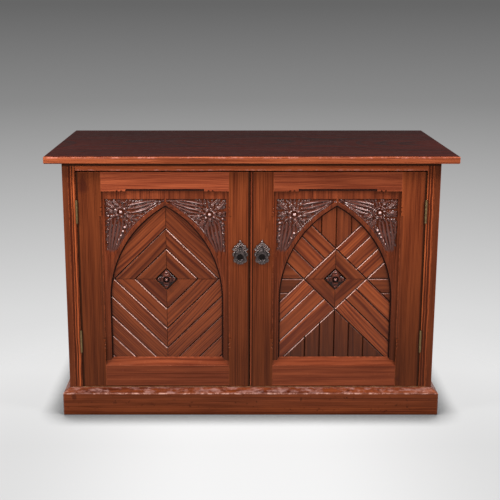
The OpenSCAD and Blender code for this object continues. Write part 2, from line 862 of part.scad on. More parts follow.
// One arm's boards run outwards side by side
module arm_boards() {
    for (a = [45 : 90 : 315], i = [-1 : 1]) rotate(a)
        translate([diamond_d + board_gap / 2, (i - 0.5) * board_pitch + board_gap / 2])
            square([reach, board_pitch - board_gap]);
}

module saltire_edges() {
    for (a = [45 : 90 : 315]) groove(a, diamond_d, -reach, reach);
}

module saltire_boards() {
    door_side(1) color(pine) difference() {
        upright(match_back, match_t) intersection() {
            arm_boards();
            field();
        }
        saltire_edges();
        for (a = [45 : 90 : 315], d = [-centre_d, centre_d]) groove(a, d, diamond_d, reach);
    }
}

// The triangle between two arms, opening upwards
module arm_gap() {
    tip = (diamond_d + board_gap / 2) * sqrt(2);
    polygon([[0, tip], [reach, tip + reach], [-reach, tip + reach]]);
}

module upright_boards() {
    over_count = ceil(field_hw / board_pitch);
    door_side(1) color(pine_light) difference() {
        upright(match_back, match_t) intersection() {
            union() {
                for (m = [0, 1], i = [-over_count : over_count]) mirror([0, m]) intersection() {
                    arm_gap();
                    translate([i * board_pitch + board_gap / 2, 0]) square([board_pitch - board_gap, reach]);
                }
                for (m = [0, 1], i = [-3 : 0]) mirror([m, 0]) intersection() {
                    rotate(-90) arm_gap();
                    translate([0, i * board_pitch + board_gap / 2])
                        square([reach, (i < 0 ? board_pitch : diamond_d * 2) - board_gap]);
                }
            }
            field();
        }
        saltire_edges();
        for (i = [-2 : 2], m = [90, 270]) groove(m, i * board_pitch, diamond_d, reach);
        for (m = [0, 180], i = [0, 1]) groove(m, (m == 0 ? -1 : 1) * i * board_pitch, diamond_d, reach);
    }
}

module panel_backing(s) {
    door_side(s) color(pine_inside)
        block(panel_x0 - rebate + board_gap, panel_x1 + rebate - board_gap, match_back, door_back,
            panel_z0 - rebate + board_gap, panel_z1 + rebate - board_gap);
}

module rosette(s) {
    hs = centre_d - board_gap / 2;
    base = rosette_proud * 0.45;
    door_side(s) color(carved) translate([panel_cx, match_back, pattern_z]) rotate([90, 0, 0]) {
        rotate(45) translate([-hs, -hs, 0]) cube([2 * hs, 2 * hs, match_t + base]);
        for (a = [0 : 90 : 270]) rotate(a) translate([hs * 0.78, 0, match_t + base]) intersection() {
            translate([0, 0, -hs * 0.2]) sphere(r = hs * 0.46);
            translate([-hs, -hs, -0.5]) cube([2 * hs, 2 * hs, rosette_proud]);
        }
        translate([0, 0, match_t + base]) rotate_extrude() translate([hs * 0.42, 0]) circle(hs * 0.11);
        translate([0, 0, match_t + base]) cylinder(r = hs * 0.22, h = rosette_proud - base - hs * 0.1);
        translate([0, 0, match_t + rosette_proud - hs * 0.22]) sphere(r = hs * 0.22);
    }
}

// Handles, drawn with x across, y up and z out of the door

module handle_at() {
    translate([-handle_inset, front_y, pivot_z]) rotate([90, 0, 0]) children();
}

module plate_outline() {
    half = [[0, plate_up], [0.42 * plate_half_w, 0.52 * plate_up], [plate_half_w, -2],
        [0.8 * plate_half_w, -20], [0.86 * plate_half_w, -38], [0, -plate_down]];
    polygon([for (p = half) p, for (i = [len(half) - 2 : -1 : 1]) [-half[i][0], half[i][1]]]);
    translate([0, -plate_down + plate_foot_r]) circle(plate_foot_r);
    for (x = [-1, 1]) translate([x * plate_half_w * 0.62, plate_up * 0.3]) circle(plate_lobe_r);
    translate([0, plate_up - plate_lobe_r - 1]) circle(plate_lobe_r);
}

module handle_screw_set(clear) {
    for (p = plate_screws) translate([p[0], p[1], -plate_screw_len])
        cylinder(r = plate_screw_r + clear, h = plate_screw_len + plate_t + clear);
}

module handle_plate(s) {
    door_side(s) color(iron) handle_at() {
        difference() {
            linear_extrude(plate_t) plate_outline();
            handle_screw_set(screw_clear);
        }
        translate([0, -ring_drop, plate_t - seat]) cylinder(r = knob_r, h = knob_t + seat);
        for (x = [-barrel_len / 2 - run_clear - ear_t, barrel_len / 2 + run_clear]) difference() {
            union() {
                translate([x, -ear_r, plate_t - seat]) cube([ear_t, 2 * ear_r, pull_axis - plate_t + seat]);
                translate([x, 0, pull_axis]) rotate([0, 90, 0]) cylinder(r = ear_r, h = ear_t);
            }
            translate([x - eps, 0, pull_axis]) rotate([0, 90, 0])
                cylinder(r = pull_pin_r + pin_clear, h = ear_t + 2 * eps);
        }
    }
}

module handle_screws(s) {
    ear_span = barrel_len + 2 * run_clear + 2 * ear_t;
    door_side(s) color(iron) handle_at() {
        handle_screw_set(0);
        for (p = plate_screws) translate([p[0], p[1], plate_t]) cylinder(r = plate_screw_r * 1.9, h = 1.2);
        translate([-ear_span / 2, 0, pull_axis]) rotate([0, 90, 0]) cylinder(r = pull_pin_r, h = ear_span);
    }
}

module pull_outline() {
    neck = barrel_r * 1.1;
    tangent = acos((ring_r - neck) / ring_drop);
    side_x = sin(tangent);
    side_y = cos(tangent);
    difference() {
        union() {
            translate([0, -ring_drop]) circle(ring_r);
            circle(neck);
            polygon([[-neck * side_x, neck * side_y], [-ring_r * side_x, -ring_drop + ring_r * side_y],
                [ring_r * side_x, -ring_drop + ring_r * side_y], [neck * side_x, neck * side_y]]);
        }
        translate([0, -ring_drop]) circle(ring_hole_r);
    }
}

module handle_pull(s) {
    cut = 2 * ring_r;
    door_side(s) color(iron) handle_at() difference() {
        union() {
            difference() {
                translate([0, 0, plate_t + stop_clear]) linear_extrude(pull_t) pull_outline();
                for (x = [barrel_len / 2, -barrel_len / 2 - cut]) translate([x, -ear_r - run_clear, 0])
                    cube([cut, cut, cut]);
                translate([-cut, 0, 0]) cube([2 * cut, cut, cut]);
            }
            translate([-barrel_len / 2, 0, pull_axis]) rotate([0, 90, 0])
                cylinder(r = barrel_r, h = barrel_len);
        }
        translate([-barrel_len, 0, pull_axis]) rotate([0, 90, 0])
            cylinder(r = pull_pin_r + pin_clear, h = 2 * barrel_len);
    }
}

// Barrel bolt inside the left door

module bolt_screws(clear) {
    for (x = [-bolt_screw_x, bolt_screw_x], z = [bolt_screw_end, bolt_plate_h - bolt_screw_end])
        translate([x - catch_inset, door_back - bolt_screw_len, bolt_plate_z + z]) rotate([-90, 0, 0])
            cylinder(r = bolt_screw_r + clear, h = bolt_screw_len + leaf_t);
}

module left_bolt_plate() {
    color(brass) {
        translate([-catch_inset - bolt_plate_w / 2, door_back, bolt_plate_z])
            cube([bolt_plate_w, leaf_t, bolt_plate_h]);
        for (z = [guide_end, bolt_plate_h - guide_end - guide_len])
            translate([-catch_inset, 0, bolt_plate_z + z]) difference() {
                union() {
                    translate([0, bolt_y, 0]) cylinder(r = bolt_r + guide_wall, h = guide_len);
                    block(-bolt_r - guide_wall, bolt_r + guide_wall, door_back + leaf_t, bolt_y, 0, guide_len);
                }
                translate([0, bolt_y, -eps]) cylinder(r = bolt_r + pin_clear, h = guide_len + 2 * eps);
            }
        bolt_screws(0);
    }
}

module left_bolt_rod() {
    knob_z = bolt_plate_z + bolt_plate_h / 2 - bolt_travel / 2;
    color(brass) {
        translate([-catch_inset, bolt_y, bolt_top - bolt_len]) cylinder(r = bolt_r, h = bolt_len);
        translate([-catch_inset, bolt_y, knob_z]) rotate([-90, 0, 0])
            cylinder(r = thumb_stem_r, h = thumb_stem);
        translate([-catch_inset, bolt_y + thumb_stem, knob_z]) sphere(r = thumb_r);
    }
}

// Ball catch in the top of the right door

module right_catch_case() {
    foot = 2;
    color(brass) translate([catch_inset, catch_y, door_z1 - catch_len]) difference() {
        cylinder(r = case_r, h = catch_len);
        translate([0, 0, foot]) cylinder(r = ball_r + pin_clear, h = catch_len);
    }
}

module right_catch_ball() {
    centre = rail_z - catch_clear - ball_r;
    color(brass) translate([catch_inset, catch_y, 0]) {
        translate([0, 0, centre]) sphere(r = ball_r);
        translate([0, 0, centre - ball_r]) cylinder(r = ball_r, h = ball_r);
    }
}

module catch_strike() {
    color(brass) difference() {
        translate([catch_inset - strike_l / 2, catch_y - strike_w / 2, rail_z])
            cube([strike_l, strike_w, strike_t]);
        translate([catch_inset, catch_y, rail_z - eps]) cylinder(r = ball_r * 0.6, h = strike_t + 2 * eps);
    }
}

top_board();
side_board(-1);  // side_left
side_board(1);  // side_right
face_stile(-1);  // face_stile_left
face_stile(1);  // face_stile_right
face_rail();
door_stop();
bottom_board();
shelf();
shelf_bearers();
back_boards();
back_rail();
top_blocks();
plinth_front();
plinth_side(-1);  // plinth_left
plinth_side(1);  // plinth_right
plinth_back();
plinth_blocks();
frame_hinges();
hinge_pins();
frame_hinge_screws();
catch_strike();
hinge_stile(-1);  // left_hinge_stile
meeting_stile(-1);  // left_meeting_stile
top_rail(-1);  // left_top_rail
bottom_rail(-1);  // left_bottom_rail
spandrel(-1, -1);  // left_spandrel_outer
spandrel(-1, 1);  // left_spandrel_inner
centre_boards(-1);  // left_centre_boards
diamond_boards();  // left_diamond_boards
chevron_boards();  // left_chevron_boards
panel_backing(-1);  // left_panel_backing
rosette(-1);  // left_rosette
door_hinges(-1);  // left_door_hinges
door_hinge_screws(-1);  // left_hinge_screws
handle_plate(-1);  // left_handle_plate
handle_screws(-1);  // left_handle_screws
handle_pull(-1);  // left_handle_pull
left_bolt_plate();
left_bolt_rod();
hinge_stile(1);  // right_hinge_stile
meeting_stile(1);  // right_meeting_stile
top_rail(1);  // right_top_rail
bottom_rail(1);  // right_bottom_rail
spandrel(1, -1);  // right_spandrel_outer
spandrel(1, 1);  // right_spandrel_inner
centre_boards(1);  // right_centre_boards
saltire_boards();  // right_saltire_boards
upright_boards();  // right_upright_boards
panel_backing(1);  // right_panel_backing
rosette(1);  // right_rosette
door_hinges(1);  // right_door_hinges
door_hinge_screws(1);  // right_hinge_screws
handle_plate(1);  // right_handle_plate
handle_screws(1);  // right_handle_screws
handle_pull(1);  // right_handle_pull
meeting_bead();  // right_meeting_bead
right_catch_case();
right_catch_ball();
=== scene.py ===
"""Looks of the gothic revival cabinet: stained pine, carving, brass, old metal, floor, light and camera."""

import functools
import json
import math
from collections import namedtuple

import bmesh
import bpy
import numpy as np
from mathutils import Matrix, Vector


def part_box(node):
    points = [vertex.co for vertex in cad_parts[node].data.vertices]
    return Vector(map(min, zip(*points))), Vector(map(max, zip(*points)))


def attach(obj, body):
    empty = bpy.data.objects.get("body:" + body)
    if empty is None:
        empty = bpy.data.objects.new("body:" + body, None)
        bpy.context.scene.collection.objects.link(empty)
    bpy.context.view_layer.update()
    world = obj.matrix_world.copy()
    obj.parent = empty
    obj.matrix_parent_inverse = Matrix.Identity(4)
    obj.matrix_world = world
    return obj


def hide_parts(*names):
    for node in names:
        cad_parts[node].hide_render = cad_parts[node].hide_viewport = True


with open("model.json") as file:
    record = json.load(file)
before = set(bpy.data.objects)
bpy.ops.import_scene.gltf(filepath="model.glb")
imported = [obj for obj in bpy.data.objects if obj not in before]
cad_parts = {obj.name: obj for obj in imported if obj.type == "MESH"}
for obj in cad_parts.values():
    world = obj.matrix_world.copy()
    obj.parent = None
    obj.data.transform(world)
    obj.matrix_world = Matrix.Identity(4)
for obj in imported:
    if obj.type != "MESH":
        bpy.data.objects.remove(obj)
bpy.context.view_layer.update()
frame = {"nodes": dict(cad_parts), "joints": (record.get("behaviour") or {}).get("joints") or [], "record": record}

MM = 0.001
ROOT2 = math.sqrt(2)
# Millimetres between the points of a carved surface
FINE = 1.1
# How far the carving stands over the panel's face
CARVING_PROUD = 4.7 * MM
PLINTH_CHAMFER_H = 16.8 * MM

# Places that the pieces below share, all taken from the frame
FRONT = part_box("left_hinge_stile")[0].y
MATCH_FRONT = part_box("left_diamond_boards")[0].y
PANEL_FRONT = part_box("left_spandrel_outer")[0].y + CARVING_PROUD
PANEL_X0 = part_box("left_hinge_stile")[1].x
PANEL_X1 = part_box("left_meeting_stile")[0].x
PANEL_Z0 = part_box("left_bottom_rail")[1].z
PANEL_Z1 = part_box("left_top_rail")[0].z
PANEL_CX = (PANEL_X0 + PANEL_X1) / 2
PANEL_HW = (PANEL_X1 - PANEL_X0) / 2
UNDER_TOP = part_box("top_board")[0].z
TOP_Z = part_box("top_board")[1].z
PATTERN_Z = sum(v.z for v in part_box("left_rosette")) / 2
PLINTH_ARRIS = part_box("plinth_front")[1].z - PLINTH_CHAMFER_H
PULL_JOINTS = {j["child"]: Vector(j["pos_m"]) for j in frame["joints"] if j["child"].endswith("_pull")}
SLOTS = {part["node"]: part["material_slot"] for part in frame["record"]["subparts"]}
BODY_OF = {node: body for body, nodes in frame["record"]["behaviour"]["bodies"].items() for node in nodes}


def colour(red, green, blue):
    """A colour given as it looks on screen, 0 to 255, as linear values."""
    def linear(v):
        v /= 255
        return v / 12.92 if v <= 0.04045 else ((v + 0.055) / 1.055) ** 2.4
    return (linear(red), linear(green), linear(blue), 1)


def scaled(tone, factor):
    """A linear colour made lighter or darker."""
    return tuple(min(1.0, factor * v) for v in tone[:3]) + (1,)


class Graph:
    """The nodes of a material or a world under construction; sockets pass from one call to the next."""

    def __init__(self, owner, shader="Principled BSDF"):
        owner.use_nodes = True
        self.owner = owner
        self.tree = owner.node_tree
        self.shader = self.tree.nodes[shader]

    def feed(self, socket, value):
        if isinstance(value, bpy.types.NodeSocket):
            self.tree.links.new(value, socket)
        else:
            socket.default_value = value

    def put(self, name, value):
        """Sets or links an input of the shader."""
        self.feed(self.shader.inputs[name], value)

    def node(self, kind, inputs=None, **settings):
        made = self.tree.nodes.new("ShaderNode" + kind)
        for key, value in settings.items():
            setattr(made, key, value)
        for key, value in (inputs or {}).items():
            self.feed(made.inputs[key], value)
        return made

    def math(self, operation, *values):
        """An operation on one or two values, or from left to right over more."""
        result = self.node("Math", dict(enumerate(values[:2])), operation=operation).outputs[0]
        return self.math(operation, result, *values[2:]) if len(values) > 2 else result

    add = functools.partialmethod(math, "ADD")
    times = functools.partialmethod(math, "MULTIPLY")
    minus = functools.partialmethod(math, "SUBTRACT")
    most = functools.partialmethod(math, "MAXIMUM")

    def held(self, value):
        """A value kept between 0 and 1."""
        return self.math("MINIMUM", self.most(value, 0.0), 1.0)

    def gap(self, a, b):
        """How far apart two values are."""
        return self.math("ABSOLUTE", self.minus(a, b))

    def reach(self, a, b):
        """How far a place is that lies a one way and b across it."""
        return self.math("SQRT", self.add(self.math("POWER", a, 2.0), self.math("POWER", b, 2.0)))

    def vector(self, x, y, z):
        return self.node("CombineXYZ", {"X": x, "Y": y, "Z": z}).outputs[0]

    def split(self, vector):
        return self.node("SeparateXYZ", {"Vector": vector}).outputs[:3]

    def noise(self, vector, scale, detail=2.0, roughness=0.5):
        inputs = {"Vector": vector, "Scale": scale, "Detail": detail, "Roughness": roughness}
        return self.node("TexNoise", inputs).outputs[0]

    def streaks(self, space, counts, detail=3.0, roughness=0.6):
        """Noise stretched over three coordinates, with so many grains to a metre of each."""
        stretched = self.vector(*(self.times(value, count) for value, count in zip(space, counts)))
        return self.noise(stretched, 1.0, detail, roughness)

    def span(self, value, low, high, to_low=0.0, to_high=1.0, smooth=False):
        """Maps low to high onto to_low to to_high, and holds the ends."""
        kind = "SMOOTHSTEP" if smooth else "LINEAR"
        inputs = {"Value": value, "From Min": low, "From Max": high, "To Min": to_low, "To Max": to_high}
        return self.node("MapRange", inputs, interpolation_type=kind).outputs[0]

    def mix(self, factor, a, b, blend="MIX"):
        return self.node("Mix", {0: factor, 6: a, 7: b}, data_type="RGBA", blend_type=blend).outputs[2]

    def shade(self, tint, level):
        """A colour times a number."""
        return self.mix(1.0, tint, self.vector(level, level, level), "MULTIPLY")

    def crevice(self, distance):
        """0 in the open and 1 deep in a corner."""
        shade = self.node("AmbientOcclusion", {"Distance": distance}, samples=6)
        return self.minus(1.0, shade.outputs["AO"])

    def edge(self, radius):
        """0 on a flat face and up to 1 on an outer edge."""
        inward = self.node("AmbientOcclusion", {"Distance": radius}, samples=6, inside=True, only_local=True)
        return self.span(inward.outputs["AO"], 0.5, 0.92, 1.0, 0.0)

    def seen(self):
        """1 for a ray that shows a thing, straight or mirrored, and 0 for one that only lights others."""
        path = self.node("LightPath").outputs
        return self.most(path["Is Camera Ray"], path["Is Glossy Ray"], path["Is Transmission Ray"])

    def relief(self, height, depth):
        bump = self.node("Bump", {"Height": height, "Distance": depth, "Strength": 1.0})
        self.put("Normal", bump.outputs[0])


def board_space(g, grain):
    """Coordinates along the grain, across the face and into the board, for the way the boards run."""
    x, y, z = g.split(g.node("TexCoord").outputs["Object"])
    if grain == "X":
        return x, z, y
    if grain == "Y":
        return y, z, x
    if grain == "Z":
        return z, x, y
    dx = g.gap(g.math("ABSOLUTE", x), -PANEL_CX)
    dz = g.gap(z, PATTERN_Z)
    towards = g.times(g.add(dx, dz), 1 / ROOT2)
    sideways = g.times(g.minus(dx, dz), 1 / ROOT2)
    if grain == "ring":
        return sideways, towards, y
    if grain == "arm":
        return towards, sideways, y
    upright = g.math("GREATER_THAN", dz, dx)
    level = g.minus(1.0, upright)
    along = g.add(g.times(z, upright), g.times(x, level))
    across = g.add(g.times(x, upright), g.times(z, level))
    return along, across, y


# Spring wood, summer wood and roughness of each finish
PINE_TONES = {
    "pine_top": ((168, 88, 54), (104, 44, 24), 0.32),
    "pine": ((142, 69, 36), (84, 32, 16), 0.21),
    "pine_light": ((150, 74, 45), (98, 40, 24), 0.23),
    "pine_dark": ((120, 58, 32), (68, 26, 14), 0.34),
    "pine_inside": ((196, 152, 104), (140, 92, 54), 0.62),
    "carved_pine": ((140, 66, 38), (72, 28, 16), 0.24),
}
# Distance of the board from the tree's middle, from and to; millimetres between rings; how far they wander
# along the board; height of their waves and number in a metre; strength of the rings; how far they darken
Figure = namedtuple("Figure", "near far spacing wander wave_height waves strength depth")
FIGURES = {
    "straight": Figure(0.13, 0.2, 4.2, 0.008, 0.002, 6.0, 0.5, 1.0),
    "plain": Figure(-0.07, 0.07, 5.0, 0.05, 0.005, 6.0, 0.75, 1.0),
    "coarse": Figure(0.1, 0.13, 9.0, 0.004, 0.0025, 20.0, 3.2, 0.4),
}
# How strongly the corners are darkened, as grime and painted shade, for boards laid side by side, for the plinth
# and for the rest
BOARD_SOIL_AND_SHADE, PLINTH_SOIL_AND_SHADE, SOIL_AND_SHADE = 2.4, 0.7, 1.35
# Heights between which a board's tone changes, a painted light that grows from low to high
LIGHT_RISE_FROM, LIGHT_RISE_TO = 0.2, 0.72


def growth_rings(g, space, figure, chance):
    """1 where the board's face cuts the summer wood of a ring, and 0 on the spring wood."""
    across, deep = space[1:]
    drift = g.streaks(space, (1.17, 1.56, 1.3), 1.0, 0.5)
    wave = g.streaks(space, (figure.waves, 7.0, 1.0), 1.0, 0.5)
    wander = g.add(g.span(drift, 0, 1, -figure.wander, figure.wander),
                   g.span(wave, 0, 1, -figure.wave_height, figure.wave_height))
    radius = g.reach(g.add(across, wander), deep)
    uneven = g.span(g.noise(g.vector(radius, 0.0, chance), 90.0), 0, 1, -1, 1)
    phase = g.math("FRACT", g.add(g.times(radius, 1 / (figure.spacing * MM)), uneven))
    return g.times(g.span(phase, 0.25, 0.9, smooth=True), g.span(phase, 0.92, 1.0, 1, 0))


def plinth_wear(g, wood, place, dents, patchy):
    """Dark dents over the plinth, and dents and pale scuffs on its chamfer, the scuffs partly a painted highlight.
    """
    x, y, z = g.split(place)
    wood = g.mix(g.span(dents, 0.3, 0.4, 0.8, 0.0), wood, colour(48, 16, 10))
    above = g.span(z, PLINTH_ARRIS - 0.5 * MM, PLINTH_ARRIS + 0.5 * MM)
    chamfer = g.times(above, g.span(patchy, 0.3, 0.6, 0.5, 1.0))
    # Pale scuffs on the chamfer: wear, and partly a painted highlight
    scuffs_and_sheen = g.noise(g.vector(x, g.times(y, 3.0), g.times(z, 3.0)), 26.0, 5.0, 0.7)
    wood = g.mix(g.times(chamfer, g.span(dents, 0.4, 0.52, 0.6, 0.0)), wood, colour(70, 28, 20))
    return g.mix(g.times(chamfer, g.span(scuffs_and_sheen, 0.48, 0.62, 0.0, 0.55)), wood, colour(186, 142, 134))


def worn_edges(g, wood, place, early, rubbed_and_highlit, soil_and_shade, patchy):
    """Wood with its edges worn pale, which partly stands for their painted highlight, most at a rubbed arris, or
    darkened with painted shade where boards lie side by side.
    """
    if soil_and_shade == BOARD_SOIL_AND_SHADE:
        # Painted shade: the boards' edges beside their grooves made near black
        return g.mix(g.times(g.edge(2 * MM), 0.75), wood, colour(30, 10, 6))
    # Worn pale edges, which also stand for the arrises' highlights
    worn_and_highlit = g.times(g.edge(2.5 * MM), g.span(patchy, 0.35, 0.65, 0.15, 0.9))
    if not rubbed_and_highlit:
        return g.mix(worn_and_highlit, wood, scaled(early, 1.7))
    dents = g.noise(place, 55.0, 5.0, 0.7)
    near = g.span(g.gap(g.split(place)[2], rubbed_and_highlit), 0.8 * MM, 3 * MM, 1, 0)
    arris = g.times(near, g.span(dents, 0.5, 0.62, 0.1, 0.9))
    # A rubbed arris is worn bare and painted paler as its highlight
    bare_and_highlight = colour(212, 134, 116)
    if rubbed_and_highlit == PLINTH_ARRIS:
        wood = plinth_wear(g, wood, place, dents, patchy)
        bare_and_highlight = colour(216, 166, 150)
    return g.mix(g.add(arris, g.times(worn_and_highlit, 0.3)), wood, bare_and_highlight)


def knotted(g, wood, place, knot, patchy):
    """Wood with one knot, longer than wide, of uneven outline."""
    x, _, z = g.split(place)
    at_x, at_z, radius = knot
    gap = g.reach(g.minus(x, at_x * MM), g.times(g.minus(z, at_z * MM), 0.6))
    gap = g.add(gap, g.span(patchy, 0.3, 0.7, -4 * MM, 4 * MM))
    stain = g.span(gap, radius * 0.2 * MM, radius * MM, 0.65, 0.0, smooth=True)
    return g.mix(stain, wood, colour(58, 20, 16))


def grime_and_shadows(g, place, soil_and_shade, gap_shadow):
    """Grime and painted shade in the corners, a painted shadow under the top board and a painted shadow beside a
    door's gap.
    """
    x, _, z = g.split(place)
    # Painted shadow on the wood beside a door's gap
    gap_shadow_strip = g.span(g.gap(x, gap_shadow[0]), (gap_shadow[1] - 1) * MM, gap_shadow[1] * MM, 1, 0) if gap_shadow else 0.0
    # Painted shadow: a near-black strip just under the top board
    below = g.span(z, UNDER_TOP - 14 * MM, UNDER_TOP - 11 * MM)
    shadow_under_top = g.times(below, g.span(z, UNDER_TOP, UNDER_TOP + 1 * MM, 1, 0))
    return g.held(g.add(g.times(g.crevice(11 * MM), soil_and_shade), shadow_under_top, gap_shadow_strip))


def groove_shade_and_highlight(g, wood, place, grain, paint_highlight, patchy):
    """Wood whose grooves have a painted shade, near black, on the flanks that face down and, where asked, a pale
    painted highlight on the flanks that face up and inwards.
    """
    sideways, outwards, upwards = g.split(g.node("TexCoord").outputs["Normal"])
    flank = g.times(g.span(outwards, -0.85, -0.8, 0, 1), g.span(outwards, -0.6, -0.4, 1, 0))
    # Painted shade: flanks that face down made near black
    wood = g.mix(g.times(flank, g.span(upwards, -0.5, -0.3, 0.95, 0.0)), wood, colour(18, 5, 3))
    if not paint_highlight:
        return wood
    x, _, z = g.split(place)
    inwards = g.times(sideways, g.math("SIGN", x))
    # Painted highlight: flanks that face up and towards the door's middle made pale
    lit = g.times(flank, g.span(upwards, 0.3, 0.5), g.span(inwards, -0.2, 0.1, 0.9, 0.12))
    lit = g.times(lit, g.span(g.crevice(6 * MM), 0.28, 0.46, 1, 0), g.span(patchy, 0.36, 0.6, 0.4, 1.0))
    if grain == "ring":
        lit = g.times(lit, g.span(g.gap(z, PATTERN_Z), 2 * MM, 3 * MM))
    return g.mix(lit, wood, colour(250, 198, 186))


@functools.cache
def pine(slot, grain, figure, tone, rubbed_and_highlit=None, knot=None, soil_and_shade=SOIL_AND_SHADE, gap_shadow=None, seed=None):
    """Stained and waxed pitch pine with growth rings, fibres, grime and painted shade in the corners, worn edges
    that partly stand for painted highlights, painted light that grows upwards, and painted shade and highlight in
    the grooves.
    """
    *shades, roughness = PINE_TONES[slot]
    early, late = (colour(*shade) for shade in shades)
    look = FIGURES[figure]
    g = Graph(bpy.data.materials.new(f"{slot}_{grain}_{figure}"))
    place = g.node("TexCoord").outputs["Object"]
    _, y, z = g.split(place)
    island = g.node("NewGeometry").outputs["Random Per Island"] if seed is None else seed
    chances = g.split(g.node("TexWhiteNoise", {"W": island}, noise_dimensions="1D").outputs["Color"])
    shifts = (g.times(chances[0], 7.0), g.span(chances[1], 0, 1, look.near, look.far),
              g.span(chances[2], 0, 1, 0.02, 0.09))
    space = [g.add(value, shift) for value, shift in zip(board_space(g, grain), shifts)]

    summer = growth_rings(g, space, look, chances[0])
    fibre = g.streaks(space, (14.0, 620.0, 620.0))
    streak = g.streaks(space, (3.0, 75.0, 75.0))
    cloud = g.streaks(space, (2.2, 6.0, 6.0), roughness=0.5)
    contrast = g.span(streak, 0.3, 0.7, look.strength, look.strength * 0.5)
    dark = g.add(g.times(summer, contrast), g.span(fibre, 0.3, 0.7, -0.12, 0.12),
                 g.span(streak, 0.32, 0.68, 0.7, -0.05))
    wood = g.mix(g.held(dark), early, scaled(late, look.depth))
    level = g.add(g.span(cloud, 0.3, 0.7, 0.84, 1.14), g.span(chances[0], 0, 1, -0.14, 0.14))
    # Painted light: the board is made lighter from low to high, where the lamps light it more
    wood = g.shade(wood, g.times(level, g.span(z, LIGHT_RISE_FROM, LIGHT_RISE_TO, *tone)))
    # The top board's upper face darkened far below its front edge: partly a darker finish and partly painted
    # shade, as the top face gets little light
    if slot == "pine_top":
        upper = g.span(z, TOP_Z - 1.2 * MM, TOP_Z - 0.4 * MM)
        wood = g.mix(upper, wood, g.mix(1.0, wood, (0.12, 0.055, 0.08, 1), "MULTIPLY"))
    if slot == "pine_inside":
        wood = g.mix(g.span(y, FRONT + 4 * MM, FRONT + 8 * MM, 1, 0), wood, colour(96, 38, 22))

    patchy = g.noise(place, 60.0, 3.0, 0.6)
    wood = worn_edges(g, wood, place, early, rubbed_and_highlit, soil_and_shade, patchy)
    if knot:
        wood = knotted(g, wood, place, knot, patchy)
    grime_and_shade = grime_and_shadows(g, place, soil_and_shade, gap_shadow)
    # Grime and painted shade: the corners darkened to near black
    wood = g.mix(g.times(grime_and_shade, 0.94), wood, scaled(early, 0.05))
    door_boards = slot == "pine" and soil_and_shade == BOARD_SOIL_AND_SHADE
    if door_boards or slot == "pine_light":
        wood = groove_shade_and_highlight(g, wood, place, grain, door_boards, patchy)

    g.put("Base Color", wood)
    g.put("Specular IOR Level", 0.1 if slot == "pine_top" else 0.42)
    g.put("Specular Tint", (1, 0.62, 0.5, 1) if door_boards else (1, 0.42, 0.26, 1))
    wax = g.span(patchy, 0.3, 0.7, roughness - 0.04, roughness + 0.06)
    g.put("Roughness", g.add(wax, g.times(summer, -0.04), g.times(grime_and_shade, 0.25)))
    pores = (g.times(summer, 0.3), g.times(fibre, 0.5), g.times(streak, 0.6), g.times(patchy, 0.12))
    g.relief(g.add(*pores), 0.2 * MM)
    return g.owner


def carved_pine(name, gloss):
    """Pine of the carving: dark in the ground, lighter on the leaves, palest on the crests as a painted highlight,
    with grime and painted shade in its hollows.
    """
    g = Graph(bpy.data.materials.new(name))
    space = board_space(g, "Z")
    height = g.node("Attribute", attribute_name="relief").outputs["Fac"]
    fibre = g.streaks(space, (16.0, 420.0, 420.0))
    streak = g.streaks(space, (4.0, 120.0, 60.0))
    leaf = g.mix(g.span(height, 0.1, 0.9, smooth=True), colour(68, 29, 20), colour(104, 52, 38))
    # Darkest below the ground's level, where the rosette's painted shade sets its block
    leaf = g.mix(g.span(height, -0.4, 0.1), colour(24, 9, 7), leaf)
    # Painted highlight: the crests made nearly white
    leaf = g.mix(g.span(height, 1.14, 1.38), leaf, colour(236, 196, 190))
    wood = g.shade(leaf, g.span(g.add(streak, g.times(fibre, 0.5)), 0.6, 0.95, 1.15, 0.75))
    # Painted shade in the carving's hollows, with grime
    grime_and_shade = g.held(g.times(g.crevice(6 * MM), 0.95))
    g.put("Base Color", g.mix(g.times(grime_and_shade, 0.85), wood, colour(20, 7, 5)))
    g.put("Specular IOR Level", gloss)
    g.put("Specular Tint", (1, 0.9, 0.88, 1))
    g.put("Roughness", g.add(g.span(fibre, 0.3, 0.7, 0.15, 0.25), g.times(grime_and_shade, 0.3)))
    g.relief(g.add(g.times(fibre, 0.5), g.times(streak, 0.5)), 0.15 * MM)
    return g.owner


def shadow_gap():
    """A painted shadow for a narrow groove: near black, matt and a little uneven."""
    g = Graph(bpy.data.materials.new("shadow_gap"))
    mottle = g.noise(g.node("TexCoord").outputs["Object"], 300.0)
    g.put("Base Color", g.mix(g.span(mottle, 0.35, 0.65), colour(22, 8, 5), colour(44, 18, 11)))
    g.put("Roughness", 0.85)
    g.put("Specular IOR Level", 0.1)
    return g.owner


